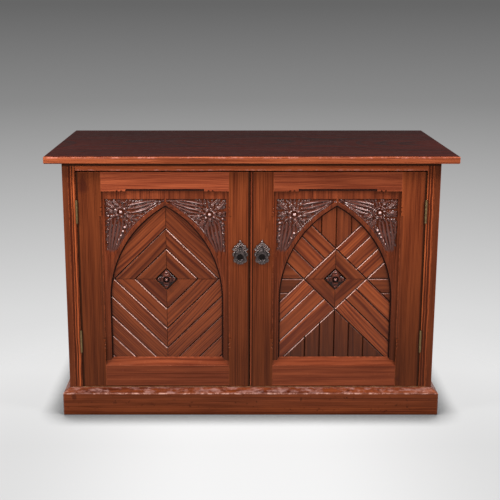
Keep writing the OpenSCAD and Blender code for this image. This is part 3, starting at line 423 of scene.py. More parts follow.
def metal(name, bright, dull, roughness, soil_and_shadow):
    """Old cast or rolled metal: rubbed bright on the edges, dull and soiled in the hollows, and for the antique
    metal painted near black behind the ring as its shadow.
    """
    g = Graph(bpy.data.materials.new(name))
    place = g.node("TexCoord").outputs["Object"]
    blotch = g.noise(place, 120.0, 4.0, 0.65)
    pitting = g.noise(place, 900.0, 3.0, 0.6)
    wear = g.held(g.add(g.times(g.edge(0.8 * MM), 0.8), g.span(blotch, 0.48, 0.68, 0.0, 0.3)))
    hollow = g.span(g.crevice(3 * MM), 0.05, 0.6)
    if name == "antique_metal":
        # Painted shadow: the disc in the ring's well, just over the door, made near black
        shadow_behind_ring = g.span(g.split(place)[1], FRONT - 1.8 * MM, FRONT - 1.1 * MM)
        hollow = g.held(g.add(hollow, shadow_behind_ring))
    g.put("Base Color", g.mix(g.times(hollow, 0.95), g.mix(wear, dull, bright), soil_and_shadow))
    g.put("Metallic", g.span(hollow, 0.3, 0.9, 0.95, 0.3))
    tarnish = g.span(blotch, 0.3, 0.7, roughness - 0.08, roughness + 0.14)
    g.put("Roughness", g.add(tarnish, g.times(hollow, 0.3)))
    g.put("Specular IOR Level", 0.08)
    g.relief(g.add(g.times(pitting, 0.4), blotch), 0.12 * MM)
    return g.owner


METALS = {
    "brass": metal("brass", colour(196, 170, 124), colour(128, 106, 72), 0.42, colour(24, 17, 10)),
    "antique_metal": metal("antique_metal", colour(190, 168, 162), colour(80, 72, 71), 0.24, colour(4, 2, 2)),
}
PLINTH = ("plinth_front", "plinth_left", "plinth_right")
RING_BOARDS = ("left_centre_boards", "left_diamond_boards", "left_chevron_boards", "right_centre_boards")
# Nodes whose grain isn't upright, by the way it runs
RUNS = {
    "X": ("top_board", "face_rail", "door_stop", "bottom_board", "shelf", "back_rail", "plinth_front",
          "plinth_back", "left_top_rail", "left_bottom_rail", "right_top_rail", "right_bottom_rail"),
    "Y": ("shelf_bearers", "top_blocks", "plinth_left", "plinth_right"),
    "ring": RING_BOARDS,
    "arm": ("right_saltire_boards",),
    "upright": ("right_upright_boards",),
}
GRAIN = {node: way for way, nodes in RUNS.items() for node in nodes}
# Figure of the nodes that aren't straight-grained
FIGURE = {
    "face_stile_left": "coarse", "face_stile_right": "coarse", "top_board": "plain", "left_top_rail": "plain",
    "right_top_rail": "plain", "back_boards": "plain", "shelf": "plain", "bottom_board": "plain",
    "right_saltire_boards": "plain", **dict.fromkeys(RING_BOARDS, "plain"),
}
# Nodes that keep plain arrises, as their notched faces overlap once merged, and the seeds of their grain
SHARP = {"left_meeting_stile": 0.37, "left_top_rail": 0.61, "right_top_rail": 0.83, "side_left": 0.17,
         "side_right": 0.29}
# Radius of the worn edges in millimetres, where it isn't that of most wood
WOOD_WEAR, METAL_WEAR = 1.0, 0.2
EDGE_WEAR = {"face_rail": 2.4, "back_boards": 0.4, "right_saltire_boards": 0.1, "right_upright_boards": 0.1,
             **dict.fromkeys(PLINTH, 2.4), **dict.fromkeys(RING_BOARDS, 0.1)}
# How much lighter or darker than its finish a board is, low down and high up: partly the board's own tone, while
# the rise from low to high is painted light, and the face rail's is painted light against the shade under the top
# board
TONE_AND_LIGHT = {
    "face_rail": (2.4, 2.4), "face_stile_left": (1.75, 2.1), "face_stile_right": (1.75, 2.1),
    "top_board": (1.2, 1.2), "left_hinge_stile": (0.46, 0.7), "left_meeting_stile": (0.52, 0.93),
    "left_top_rail": (1.7, 1.7), "left_bottom_rail": (0.8, 0.8), "right_hinge_stile": (0.5, 1.1),
    "right_meeting_stile": (0.56, 0.93), "right_top_rail": (1.25, 1.25), "right_bottom_rail": (0.98, 0.98),
    "right_meeting_bead": (0.9, 1.2), "left_chevron_boards": (1.05, 1.05),
    "right_saltire_boards": (1.32, 1.4), "right_upright_boards": (0.42, 1.2),
    **dict.fromkeys(PLINTH, (0.92, 0.92)),
}
# Knots, as x, z and radius in millimetres
KNOTS = {"left_hinge_stile": (-555, 806, 26), "right_upright_boards": (226, 690, 14),
         "plinth_front": (-607, 69, 12), "right_hinge_stile": (505, 126, 9)}
# Height of an arris that hands and feet have rubbed bare, and that is painted paler as its highlight
RUBBED_AND_HIGHLIT = {"face_rail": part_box("face_rail")[0].z + 3 * MM, "top_board": TOP_Z - 4 * MM,
          **dict.fromkeys(PLINTH, PLINTH_ARRIS)}
# Where a painted shadow darkens the wood beside a door's gap: its place and how far it reaches in millimetres
GAP_SHADOWS = {"left_meeting_stile": (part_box("left_meeting_stile")[1].x, 6),
         "right_meeting_stile": (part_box("right_meeting_bead")[1].x, 3.2),
         "left_hinge_stile": (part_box("left_hinge_stile")[0].x, 6),
         "right_hinge_stile": (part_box("right_hinge_stile")[1].x, 6)}


def finish_for(node):
    """The material of a CAD node, from the record's slot and what the tables say of the node."""
    slot = SLOTS[node]
    if slot in METALS:
        return METALS[slot]
    soil_and_shade = BOARD_SOIL_AND_SHADE if "_boards" in node else PLINTH_SOIL_AND_SHADE if node.startswith("plinth") else SOIL_AND_SHADE
    return pine(slot, GRAIN.get(node, "Z"), FIGURE.get(node, "straight"), TONE_AND_LIGHT.get(node, (1.0, 1.0)),
                RUBBED_AND_HIGHLIT.get(node), KNOTS.get(node), soil_and_shade, GAP_SHADOWS.get(node), SHARP.get(node))


def dress_node(node, piece):
    """Gives a CAD node its finish and rounds its edges a little, as wear does."""
    finish = finish_for(node)
    for slot in piece.material_slots:
        slot.material = finish
    weld = piece.modifiers.new("weld", "WELD")
    weld.merge_threshold = 0.01 * MM
    if node in SHARP:
        return
    flat = piece.modifiers.new("flat", "DECIMATE")
    flat.decimate_type = "DISSOLVE"
    flat.angle_limit = math.radians(0.5)
    bevel = piece.modifiers.new("worn_edges", "BEVEL")
    bevel.width = MM * (METAL_WEAR if SLOTS[node] in METALS else EDGE_WEAR.get(node, WOOD_WEAR))
    bevel.segments = 2
    bevel.limit_method = "ANGLE"
    bevel.angle_limit = math.radians(32)
    piece.modifiers.new("normals", "WEIGHTED_NORMAL").keep_sharp = True


def piece_for(node, suffix, vertices, faces, finish):
    """A new mesh piece that stands for a CAD node and rides on the node's body."""
    mesh = bpy.data.meshes.new(node + suffix)
    mesh.from_pydata([tuple(v) for v in vertices], [], faces)
    mesh.materials.append(finish)
    mesh.shade_smooth()
    piece = bpy.data.objects.new(node + suffix, mesh)
    bpy.context.collection.objects.link(piece)
    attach(piece, BODY_OF[node])
    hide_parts(node)
    return piece


def tidy_mesh(piece, sharp=40):
    """Merges doubled points, drops empty faces and keeps edges over the given angle sharp."""
    work = bmesh.new()
    work.from_mesh(piece.data)
    bmesh.ops.remove_doubles(work, verts=work.verts, dist=0.02 * MM)
    bmesh.ops.dissolve_degenerate(work, dist=0.005 * MM, edges=work.edges)
    bmesh.ops.recalc_face_normals(work, faces=work.faces)
    for edge in work.edges:
        edge.smooth = len(edge.link_faces) == 2 and edge.calc_face_angle(0) < math.radians(sharp)
    work.to_mesh(piece.data)
    work.free()


def relief_block(node, front, relief, rim_relief, finish, back_y, lowest=0.0, mirrored=False):
    """A block with a grid of points in front and a flat back, whose relief is kept for the wood's colour."""
    rows, cols, _ = front.shape
    index = np.arange(rows * cols).reshape(rows, cols)
    rim = np.concatenate([index[0], index[1:, -1], index[-1, -2::-1], index[-2:0:-1, 0]])
    first, around = rows * cols, len(rim)
    faces = [(index[r, c], index[r, c + 1], index[r + 1, c + 1], index[r + 1, c])
             for r in range(rows - 1) for c in range(cols - 1)]
    faces += [(rim[(i + 1) % around], rim[i], first + i, first + (i + 1) % around) for i in range(around)]
    faces.append(tuple(first + i for i in reversed(range(around))))
    if mirrored:
        faces = [tuple(reversed(face)) for face in faces]
    front = front.reshape(-1, 3)
    back = front[rim]
    back[:, 1] = back_y
    back[:, 2] = np.maximum(back[:, 2], lowest)
    piece = piece_for(node, "_carved", np.concatenate([front, back]), faces, finish)
    heights = np.append(relief, np.full(around, rim_relief))
    piece.data.attributes.new("relief", "FLOAT", "POINT").data.foreach_set("value", heights)
    return piece


# Carved spandrels. A place is (u, z) in millimetres: u from the panel's centre line towards the piece's side,
# and z as in the frame. Heights are over the sunk ground.
ARCH_HW = 187
ARCH_R = 374
ARCH_U = ARCH_HW - ARCH_R
SPRING = 405
SPLAY_W = 16
SPLAY_D = 7
QUIRK_W = 4.6
QUIRK_D = 2.8
# The carved ground: its depth, the plain band over it, its height and the margins beside it
CARVE_D = 4.5
BAND = 28
CARVE_H = 212
MARGIN = 8
CENTRE_MARGIN = 3
CARVE_TOP = PANEL_Z1 / MM - BAND
CARVE_LOW = CARVE_TOP - CARVE_H
# Height over which the carving dies out at its foot
FADE_H = 70
# The board beyond the panel: its tongue in the frame, its foot on the sill and half its joint over the arch
TONGUE = 10
FOOT = 13.4
HALF_JOINT = 0.2
# Rows of points above the carving, and the distance between those below it
BAND_ROWS = (CARVE_TOP + 8, CARVE_TOP + 18)
PLAIN_PITCH = 12
EYE_R = 7.0
MOAT_R = 9.5
# Relief of the sunk ground, and relief from which a place counts as carved
GROUND_LEVEL = 0.3
CUT_FROM = 0.36


def smooth_step(value, width):
    t = np.clip(value / width, 0, 1)
    return t * t * (3 - 2 * t)


def round_top(q):
    """Height of a round section, 1 in its middle, for places q half widths off it."""
    return np.sqrt(np.clip(1 - q ** 2, 0, 1))


def curve_through(points, count=16):
    """Points along the smooth curve from the first to the last of three places, drawn to the middle one."""
    (u0, z0), (u1, z1), (u2, z2) = points
    t = np.linspace(0, 1, count)
    u = (1 - t) ** 2 * u0 + 2 * t * (1 - t) * u1 + t ** 2 * u2
    z = (1 - t) ** 2 * z0 + 2 * t * (1 - t) * z1 + t ** 2 * z2
    return np.stack([u, z], axis=1)


def along_and_off(places, line):
    """For each place: how far along a line it lies, 0 to 1, and how far off it, positive on the left."""
    start, end = line[:-1], line[1:]
    step = end - start
    length = np.linalg.norm(step, axis=1)
    rel = places[:, None, :] - start[None]
    t = np.clip((rel * step).sum(2) / length ** 2, 0, 1)
    away = rel - t[..., None] * step
    distance = np.linalg.norm(away, axis=2)
    nearest = distance.argmin(1)
    row = np.arange(len(places))
    side = np.sign(step[nearest, 0] * rel[row, nearest, 1] - step[nearest, 1] * rel[row, nearest, 0])
    before = np.concatenate([[0], np.cumsum(length)])[:-1]
    run = (before[nearest] + t[row, nearest] * length[nearest]) / length.sum()
    return run, distance[row, nearest] * side


def blade(places, points, width, height, lobes=0):
    """A pointed leaf along a curve: gouged to a ridge, or scalloped into lobes with a sunk vein."""
    run, off = along_and_off(places, curve_through(points))
    half = width / 2 * (0.35 + 0.65 * np.sin(np.pi * run ** 0.8)) * np.minimum(1, (1 - run) * 7 + 0.05)
    if lobes:
        half = half * (0.72 + 0.28 * np.abs(np.sin(np.pi * lobes * run)))
    q = np.clip(np.abs(off) / half, 0, 1)
    wall = 1 - smooth_step(q - 0.72, 0.28)
    if lobes:
        body = 0.35 * wall + 0.65 * np.sqrt(1 - q ** 2) - 0.3 * np.exp(-(off / (0.11 * width)) ** 2)
        body += 0.12 * np.cos(2 * np.pi * lobes * run + 4 * q) * q * wall
    else:
        body = 0.3 * wall + 0.7 * (1 - q ** 1.15)
    rise = height * (0.65 + 0.35 * np.sin(np.pi * np.clip(run + 0.2, 0, 1)))
    return np.where(q < 1, rise * body, 0)


def ring(places, centre, radius, width, height):
    """Height of a round bar bent into a ring."""
    q = np.abs(np.linalg.norm(places - np.array(centre), axis=1) - radius) / (width / 2)
    return height * round_top(q)


def bead(places, centre, radius, height):
    return ring(places, centre, 0, 2 * radius, height)


def flower(places, centre, petals, reach, ringed):
    """A rim round the eye's moat, petals outside it and a rope ring where the carver left one."""
    centre = np.array(centre)
    parts = [ring(places, centre, 13.5, 3.4, 5.0)]
    for k in range(petals):
        angle = math.tau * (k + 0.3) / petals
        out = np.array([math.cos(angle), math.sin(angle)])
        lean = np.array([-out[1], out[0]])
        points = [centre + out * 12, centre + out * reach * 0.75 + lean * 2.5, centre + out * (reach + 5)]
        parts.append(blade(places, points, 4.2 * reach / petals, 6.2))
    if ringed:
        parts.append(ring(places, centre, 20.5, 4.5, 5.0))
    return np.max(parts, axis=0)


def fan(places, root, tip, count, spread, bow, width):
    """Blades that start side by side, bow outwards and meet at the tip."""
    root, tip = np.array(root), np.array(tip)
    ahead = (tip - root) / np.linalg.norm(tip - root)
    aside = np.array([-ahead[1], ahead[0]])
    parts = []
    for i in range(count):
        k = i / (count - 1) - 0.5
        start = root + aside * spread * k
        end = tip - ahead * abs(k) * 14 + aside * 5 * k
        middle = (start + end) / 2 + aside * (bow + spread * 0.75 * k)
        parts.append(blade(places, [start, middle, end], width, 6.2 * (1 - 0.1 * (i % 2))))
    return np.max(parts, axis=0)


def bead_row(places, points, count, first, last):
    line = curve_through(points, count)
    radii = np.linspace(first, last, count)
    return np.max([bead(places, c, r, min(1.4 * r, 7)) for c, r in zip(line, radii)], axis=0)


def arch_rim(places, low, high):
    """A thin raised edge that follows the arch between two heights."""
    radius = np.hypot(places[:, 0] - ARCH_U, places[:, 1] - SPRING)
    q = np.abs(radius - (ARCH_R + SPLAY_W + 4.5)) / 2.6
    within = (places[:, 1] > low) & (places[:, 1] < high)
    return np.where((q < 1) & within, 4.6 * round_top(q), 0)


# The flower's centre, petals, reach and ring; fans as root, tip, count, spread, bow and width; leaves as
# curve, width and lobes; beads as curve, count, first and last radius; the rim's lowest and highest place
CARVINGS = {
    "left_spandrel_outer": {
        "flower": ((148, 713), 6, 19, False),
        "fans": [((122, 722), (14, 753), 3, 25, 4, 12.5), ((160, 690), (186, 560), 4, 36, -3, 12)],
        "leaves": [
            ([(168, 726), (184, 738), (199, 753)], 17, 3), ([(150, 733), (168, 744), (178, 754)], 10, 2),
            ([(172, 716), (190, 722), (201, 716)], 11, 2), ([(128, 704), (116, 688), (100, 687)], 14, 3),
            ([(138, 694), (130, 674), (114, 668)], 13, 3), ([(126, 742), (140, 748), (156, 752)], 9, 0),
        ],
        "beads": [([(136, 661), (148, 634), (165, 600)], 5, 5.8, 3.6),
                  ([(190, 700), (192, 640), (196, 584)], 6, 4.6, 3.2)],
        "rim": (585, 738),
    },
    "left_spandrel_inner": {
        "flower": ((147, 704), 7, 21, False),
        "fans": [((124, 722), (8, 752), 4, 32, 3, 10.5), ((156, 680), (184, 556), 4, 38, -2, 11)],
        "leaves": [
            ([(168, 720), (186, 734), (200, 752)], 16, 3), ([(150, 728), (160, 742), (174, 753)], 11, 2),
            ([(172, 706), (190, 712), (201, 702)], 11, 2), ([(122, 700), (108, 700), (90, 694)], 13, 2),
            ([(126, 686), (122, 664), (104, 664)], 17, 3), ([(142, 680), (138, 660), (126, 642)], 12, 2),
        ],
        "beads": [([(190, 690), (192, 640), (195, 578)], 7, 4.6, 3.2)],
        "rim": (570, 742),
    },
    "right_spandrel_inner": {
        "flower": ((142, 704), 6, 21, False),
        "fans": [((118, 722), (12, 752), 3, 29, 5, 13), ((158, 678), (187, 556), 4, 36, -3, 11)],
        "leaves": [
            ([(163, 720), (182, 732), (199, 753)], 17, 3), ([(146, 728), (158, 742), (172, 753)], 11, 2),
            ([(168, 704), (186, 708), (200, 696)], 12, 2), ([(118, 700), (104, 706), (84, 704)], 13, 2),
            ([(122, 686), (106, 682), (88, 694)], 12, 2), ([(136, 682), (134, 664), (118, 656)], 14, 3),
        ],
        "beads": [([(191, 676), (192, 630), (194, 590)], 5, 5.2, 3.6),
                  ([(142, 640), (154, 614), (170, 586)], 4, 5, 3.4)],
        "rim": (600, 736),
    },
    "right_spandrel_outer": {
        "flower": ((142, 710), 8, 16, True),
        "fans": [((116, 720), (12, 753), 4, 34, 4, 11.5), ((158, 686), (188, 556), 4, 36, -2, 11)],
        "leaves": [
            ([(166, 724), (184, 736), (200, 753)], 17, 3), ([(148, 732), (160, 746), (176, 754)], 11, 2),
            ([(168, 708), (188, 712), (201, 702)], 12, 2), ([(120, 696), (104, 696), (88, 702)], 13, 2),
            ([(128, 688), (122, 668), (104, 668)], 18, 3), ([(198, 680), (194, 650), (196, 620)], 8, 3),
        ],
        "beads": [([(136, 650), (148, 628), (164, 600)], 5, 5.6, 3.6)],
        "rim": (580, 740),
    },
}


def undergrowth(places, centre, seed):
    """Small leaflets that point away from the flower and fill the ground between the larger leaves."""
    chance = np.random.default_rng(seed)
    height = np.zeros(len(places))
    pitch, reach = 12.5, 11
    for u in np.arange(6, PANEL_HW / MM - MARGIN, pitch):
        for z in np.arange(CARVE_LOW + 4, CARVE_TOP, pitch):
            at = np.array([u, z]) + chance.uniform(-3, 3, 2)
            way = at - np.array(centre)
            way = way / (np.linalg.norm(way) + 0.01)
            rel = places - at
            near = np.abs(rel).max(axis=1) < reach
            along = rel[near] @ way
            across = rel[near] @ np.array([-way[1], way[0]])
            q = np.hypot(along / chance.uniform(7, 10), across / chance.uniform(3.6, 4.8))
            height[near] = np.maximum(height[near], chance.uniform(2.4, 3.6) * round_top(q))
    return height


def carving_height(places, plan):
    """Height over the sunk ground of everything that one spandrel's plan holds."""
    centre = plan["flower"][0]
    parts = [flower(places, *plan["flower"]), arch_rim(places, *plan["rim"]),
             undergrowth(places, centre, int(centre[0] + centre[1]))]
    parts += [fan(places, *row) for row in plan["fans"]]
    parts += [blade(places, points, width, 6.0, lobes) for points, width, lobes in plan["leaves"]]
    u, z = places[:, 0], places[:, 1]
    ripple = 0.08 * np.sin(u * 1.3 + 0.7 * np.sin(z)) * np.sin(z * 1.2)
    flatter = 1 - 0.28 * smooth_step(centre[1] - z - 16, 30)
    height = np.max(parts, axis=0) * flatter + ripple
    height = np.maximum(height, np.max([bead_row(places, *row) for row in plan["beads"]], axis=0))
    radius = np.linalg.norm(places - np.array(centre), axis=1)
    height *= smooth_step(radius - MOAT_R, 3)
    return np.maximum(height, bead(places, centre, EYE_R, 7.4))


def spandrel_depth(places, plan):
    """Depth of the front behind the panel's face, the carving's height there and where it is cut."""
    u, z = places[:, 0], places[:, 1]
    radius = np.where(z > SPRING, np.hypot(u - ARCH_U, z - SPRING), u - ARCH_U)
    from_arch = radius - ARCH_R
    splay = SPLAY_D * np.clip(1 - from_arch / SPLAY_W, 0, 1)
    quirk = from_arch < QUIRK_W
    inside = np.minimum.reduce([from_arch - SPLAY_W - 1, CARVE_TOP - z, PANEL_HW / MM - MARGIN - u,
                                u - CENTRE_MARGIN])
    fade = smooth_step(z - CARVE_LOW, FADE_H)
    mask = smooth_step(inside, 1.6) * fade
    height = carving_height(places, plan)
    carved = mask * (GROUND_LEVEL + height / CARVE_D) > CUT_FROM
    relief = GROUND_LEVEL + (height / CARVE_D - GROUND_LEVEL) * fade
    relief = np.where(carved, relief, np.where(quirk, -1.0, 1.0))
    return splay + QUIRK_D * quirk + mask * (CARVE_D - height), relief, np.maximum(carved, quirk)


def spandrel_places():
    """Rows of points over one spandrel: close on the splay and the carving, and wide apart below."""
    outer = PANEL_HW / MM + TONGUE
    apex = SPRING + math.sqrt(ARCH_R ** 2 - ARCH_U ** 2)
    splay_top = SPRING + math.sqrt((ARCH_R + SPLAY_W) ** 2 - (HALF_JOINT - ARCH_U) ** 2)
    plain = [*np.linspace(PANEL_Z0 / MM - FOOT, SPRING, 4),
             *np.arange(SPRING + PLAIN_PITCH, CARVE_LOW - 4, PLAIN_PITCH), *BAND_ROWS, PANEL_Z1 / MM + TONGUE]
    fine = [*np.arange(CARVE_LOW - 3, CARVE_TOP + 2, FINE), apex, splay_top]
    heights = sorted(set(round(z, 3) for z in plain + fine))
    splay_steps = np.array([0, 0.14, 0.275, 0.3, 0.45, 0.6, 0.8])
    columns = int((outer - HALF_JOINT) / FINE)

    def arch_u(z, radius):
        rise = max(z - SPRING, 0)
        return max(HALF_JOINT, ARCH_U + math.sqrt(max(radius ** 2 - rise ** 2, 0)))

    grid = []
    for z in heights:
        inner, edge = arch_u(z, ARCH_R), arch_u(z, ARCH_R + SPLAY_W)
        us = np.concatenate([inner + (edge - inner) * splay_steps, np.linspace(edge, outer, columns)])
        grid.append([(u, z) for u in us])
    return np.array(grid)


def spandrel(node, plan, finish, plain, gap):
    """One carved board over a quarter of the arch, as a closed mesh with its relief on the front."""
    low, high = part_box(node)
    centre = PANEL_CX if "left" in node else -PANEL_CX
    side = 1 if low.x + high.x > 2 * centre else -1
    grid = spandrel_places()
    places = grid.reshape(-1, 2)
    depth, relief, cut = spandrel_depth(places, plan)
    x = centre + side * places[:, 0] * MM
    front = np.stack([x, PANEL_FRONT + depth * MM, places[:, 1] * MM], axis=1).reshape(*grid.shape[:2], 3)
    piece = relief_block(node, front, relief, 1.0, finish, MATCH_FRONT, PANEL_Z0, side < 0)
    piece.data.materials.append(plain)
    piece.data.materials.append(gap)
    for face in piece.data.polygons:
        corners = [v for v in face.vertices if v < len(places)]
        if len(corners) < 4 or cut[corners].mean() < 0.5:
            face.material_index = 1
        # The quirk's faces take the painted shadow
        elif max(relief[corners]) < 0:
            face.material_index = 2
    tidy_mesh(piece)


# Rosettes, in millimetres: the block, its petals and their dome, its moat and its button
BLOCK_H = 4.2
BLOCK_FLAT = 22.3
PETAL_FROM, PETAL_TO = 9, 31.5
PETAL_RISE = 4.0
MOAT_AT, MOAT_W, MOAT_H = 9.2, 1.9, 2.0
BUTTON_R, BUTTON_H, BUTTON_RISE = 7, 3.0, 6.8
ROSETTE_COUNT = 80


def rosette_height(x, z, p, q):
    """Height of the square rosette over the boards; p and q run along its sides, x and z to its corners."""
    radius = np.hypot(x, z)
    height = BLOCK_H - 1.6 * smooth_step(np.maximum(np.abs(p), np.abs(q)) - BLOCK_FLAT, 2.0)
    for k in range(4):
        angle = math.pi / 2 * k
        a = x * math.sin(angle) + z * math.cos(angle)
        b = x * math.cos(angle) - z * math.sin(angle)
        taper = np.clip((PETAL_TO - a) / 20.5, 0, 1)
        half = 1.5 + 9.5 * np.sin(taper * math.pi / 2) ** 0.8
        across = np.clip(np.abs(b) / half, 0, 1)
        arch = np.sqrt(1 - across ** 2) * smooth_step(taper, 0.25)
        scoop = 2.6 * np.exp(-((a - 20) / 3.4) ** 2) * np.exp(-(b / 6) ** 2)
        lip = np.exp(-((a - 26) / 2.6) ** 2)
        petal = BLOCK_H + arch * (PETAL_RISE + lip) - scoop
        on_petal = (a > PETAL_FROM) & (taper > 0) & (across < 1)
        height = np.where(on_petal, np.maximum(height, petal), height)
    moat = np.exp(-((radius - MOAT_AT) / MOAT_W) ** 4)
    height = height * (1 - moat) + MOAT_H * moat
    button = np.where(radius < BUTTON_R, BUTTON_H + BUTTON_RISE * round_top(radius / BUTTON_R), 0)
    return np.maximum(height, button)


def rosette(node, finish):
    """The square block on its point at the centre of a door's pattern."""
    low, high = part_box(node)
    centre = (low.x + high.x) / 2
    half = (high.x - low.x) / 2 / ROOT2 / MM
    sides = np.linspace(-half, half, ROSETTE_COUNT)
    p, q = np.meshgrid(sides, sides)
    aside, up = (p - q) / ROOT2, (p + q) / ROOT2
    height = rosette_height(aside, up, p, q)
    front = np.stack([centre + aside * MM, MATCH_FRONT - height * MM, PATTERN_Z + up * MM], axis=-1)
    # Painted light and shade: the upward petal and the button lighter, the rest of the rosette darker
    top_petal = (up > PETAL_FROM) & (np.abs(aside) < up)
    painted_light = np.where(top_petal, 0.3, np.where(np.hypot(up, aside) < 4, 0.1, -0.35))
    relief = (height - BLOCK_H) / 4.6 + painted_light
    tidy_mesh(relief_block(node, front, relief, -0.3, finish, high.y))


# Handles. A place is (x, up, out) from the pull's pivot, in millimetres.
PLATE_T = 2.5
PIVOT_OUT = 5.9
RING_DROP = 29
RING_R = 21
HOLE_R = 11.2
PULL_T = 5.2
PULL_CLEAR = 0.3
NECK_R = 3.4
NECK_GAP = 2.6
BORE_R = 1.26
EAR_X = 6.4


def closed_outline(half, count=7):
    """A symmetrical outline from its right half, listed from the top down as (x, up, bulge to the next)."""
    points = []
    for (x0, y0, bulge), (x1, y1, _) in zip(half[:-1], half[1:]):
        for k in (i / count for i in range(count)):
            bow = 4 * bulge * k * (1 - k)
            points.append((x0 + (x1 - x0) * k + (y1 - y0) * bow, y0 + (y1 - y0) * k - (x1 - x0) * bow))
    points.append(half[-1][:2])
    return points + [(-x, y) for x, y in reversed(points[1:-1])]


def foil(centre, radius, lobes=0, turn=0.0, count=30):
    """A pierced foil with the given number of lobes, or a circle."""
    points = []
    for angle in (math.tau * i / count for i in range(count)):
        reach = radius * (0.78 + 0.3 * abs(math.cos(lobes * (angle - turn) / 2))) if lobes else radius
        points.append((centre[0] + reach * math.cos(angle), centre[1] + reach * math.sin(angle)))
    return points


def curve_mesh(loops, out, extrude=0.0, bevel=0.0, filled=True):
    """Turns closed loops of (x, up) into a mesh: a plate if filled, else a round bead along each."""
    data = bpy.data.curves.new("outline", "CURVE")
    data.dimensions = "2D" if filled else "3D"
    if filled:
        data.fill_mode = "BOTH"
    data.extrude = extrude
    data.bevel_depth = bevel
    data.bevel_resolution = 2
    for loop in loops:
        spline = data.splines.new("POLY")
        spline.points.add(len(loop) - 1)
        for point, place in zip(spline.points, loop):
            point.co = (place[0], place[1], 0, 1)
        spline.use_cyclic_u = True
    holder = bpy.data.objects.new("outline", data)
    mesh = bpy.data.meshes.new_from_object(holder)
    mesh.transform(Matrix.Translation((0, 0, out)))
    bpy.data.objects.remove(holder)
    bpy.data.curves.remove(data)
    return mesh


def tube_faces(rings, around):
    """Faces between rings of so many points each, for pairs of neighbouring rings."""
    return [(i * around + k, j * around + k, j * around + (k + 1) % around, i * around + (k + 1) % around)
            for i, j in rings for k in range(around)]


def dome(radius, height, foot):
    """Profile of a rounded stud, closed at the bottom and the top."""
    quarter = np.linspace(0, math.pi / 2, 8)
    return [(0, -foot), (radius, -foot)] + [(radius * math.cos(a), height * math.sin(a)) for a in quarter]


def turned(profile, place, across=False, steps=32):
    """Turns a profile of (radius, height) about an axis that points out of the door, or across it."""
    vertices = [(r * math.cos(math.tau * k / steps), r * math.sin(math.tau * k / steps), h)
                for r, h in profile for k in range(steps)]
    mesh = bpy.data.meshes.new("turned")
    mesh.from_pydata(vertices, [], tube_faces([(i, i + 1) for i in range(len(profile) - 1)], steps))
    if across:
        mesh.transform(Matrix.Rotation(math.pi / 2, 4, "Y"))
    mesh.transform(Matrix.Translation(place))
    return mesh


def cast_piece(side, kind, suffix, parts):
    """Joins meshes drawn in handle places into one piece of cast metal, and sets it on the door's face."""
    pivot = PULL_JOINTS[f"{side}_pull"].copy()
    pivot.y = FRONT
    place = Matrix.Translation(pivot) @ Matrix(((MM, 0, 0, 0), (0, 0, -MM, 0), (0, MM, 0, 0), (0, 0, 0, 1)))
    work = bmesh.new()
    for mesh in parts:
        work.from_mesh(mesh)
        bpy.data.meshes.remove(mesh)
    bmesh.ops.transform(work, matrix=place, verts=work.verts)
    bmesh.ops.recalc_face_normals(work, faces=work.faces)
    work.verts.index_update()
    vertices = [v.co.copy() for v in work.verts]
    faces = [tuple(v.index for v in f.verts) for f in work.faces]
    work.free()
    piece = piece_for(f"{side}_handle_{kind}", suffix, vertices, faces, METALS["antique_metal"])
    tidy_mesh(piece, 50)


def handle_plate(side):
    """The pierced and cusped plate, with a moulded rim, tracery, studs, two ears for the pull and a disc in the
    ring's well that carries a painted shadow.
    """
    half = [(0, 29, -0.12), (3.5, 21.5, 0.35), (8, 17.5, -0.2), (10, 13.5, 0.3), (17, 10.5, -0.25),
            (19, 6, 0.2), (26.8, -1.5, -0.22), (21.5, -6.5, 0.1), (21, -13, -0.2), (25.5, -22, -0.2),
            (20.5, -27, 0.15), (20.5, -36, -0.15), (22.5, -42, -0.1), (17.5, -48, 0.2), (9, -53.5, 0.15),
            (0, -55.5, 0)]
    outline = closed_outline(half)
    eyes = [foil((0, 14.5), 2.9, 3, math.pi / 2), foil((-8.5, 8), 3.1, 4), foil((8.5, 8), 3.1, 4),
            foil((-14.5, -3.5), 3.0, 3, -math.pi / 6), foil((14.5, -3.5), 3.0, 3, math.pi * 7 / 6)]
    moulding = [(x * 0.86, (y + 12) * 0.9 - 12) for x, y in outline]
    well = foil((0, -RING_DROP), 11.6, 8, count=48)
    # The well's disc is painted near black by the metal, as the ring's shadow
    shadow_disc = foil((0, -RING_DROP), 11.5, count=40)
    parts = [curve_mesh([outline, well] + eyes, PLATE_T * 0.45, extrude=PLATE_T * 0.42, bevel=0.32),
             curve_mesh([shadow_disc], 0.4, extrude=0.3),
             curve_mesh([moulding], PLATE_T * 0.92, bevel=1.1, filled=False)]
    for eye in eyes:
        middle = np.mean(eye, axis=0)
        rim = [tuple(middle + (np.array(p) - middle) * 1.3) for p in eye]
        parts.append(curve_mesh([rim], PLATE_T * 0.9, bevel=0.9, filled=False))
    studs = ((0, 24, 2.0), (6, 17, 1.9), (12.5, 11, 1.9), (17.5, 5, 2.0), (22.5, -2, 2.3), (21.5, -22, 2.1))
    for x, up, radius in studs:
        for way in ((1,) if x == 0 else (-1, 1)):
            parts.append(turned(dome(radius, 1.7, 0.4), (way * x, up, PLATE_T * 0.95)))
    ear = [(1.3, -1.5), (3.2, -1.5), (4.0, -0.9), (4.0, 0.9), (3.2, 1.5), (1.3, 1.5), (1.3, -1.5)]
    for x in (-EAR_X, EAR_X):
        parts.append(turned(ear, (x, 0, PIVOT_OUT), across=True))
        foot = [(x - 1.4, -3.4), (x + 1.4, -3.4), (x + 1.4, 3.4), (x - 1.4, 3.4)]
        parts.append(curve_mesh([foot], PLATE_T + 0.6, extrude=1.0, bevel=0.3))
    cast_piece(side, "plate", "_pierced", parts)


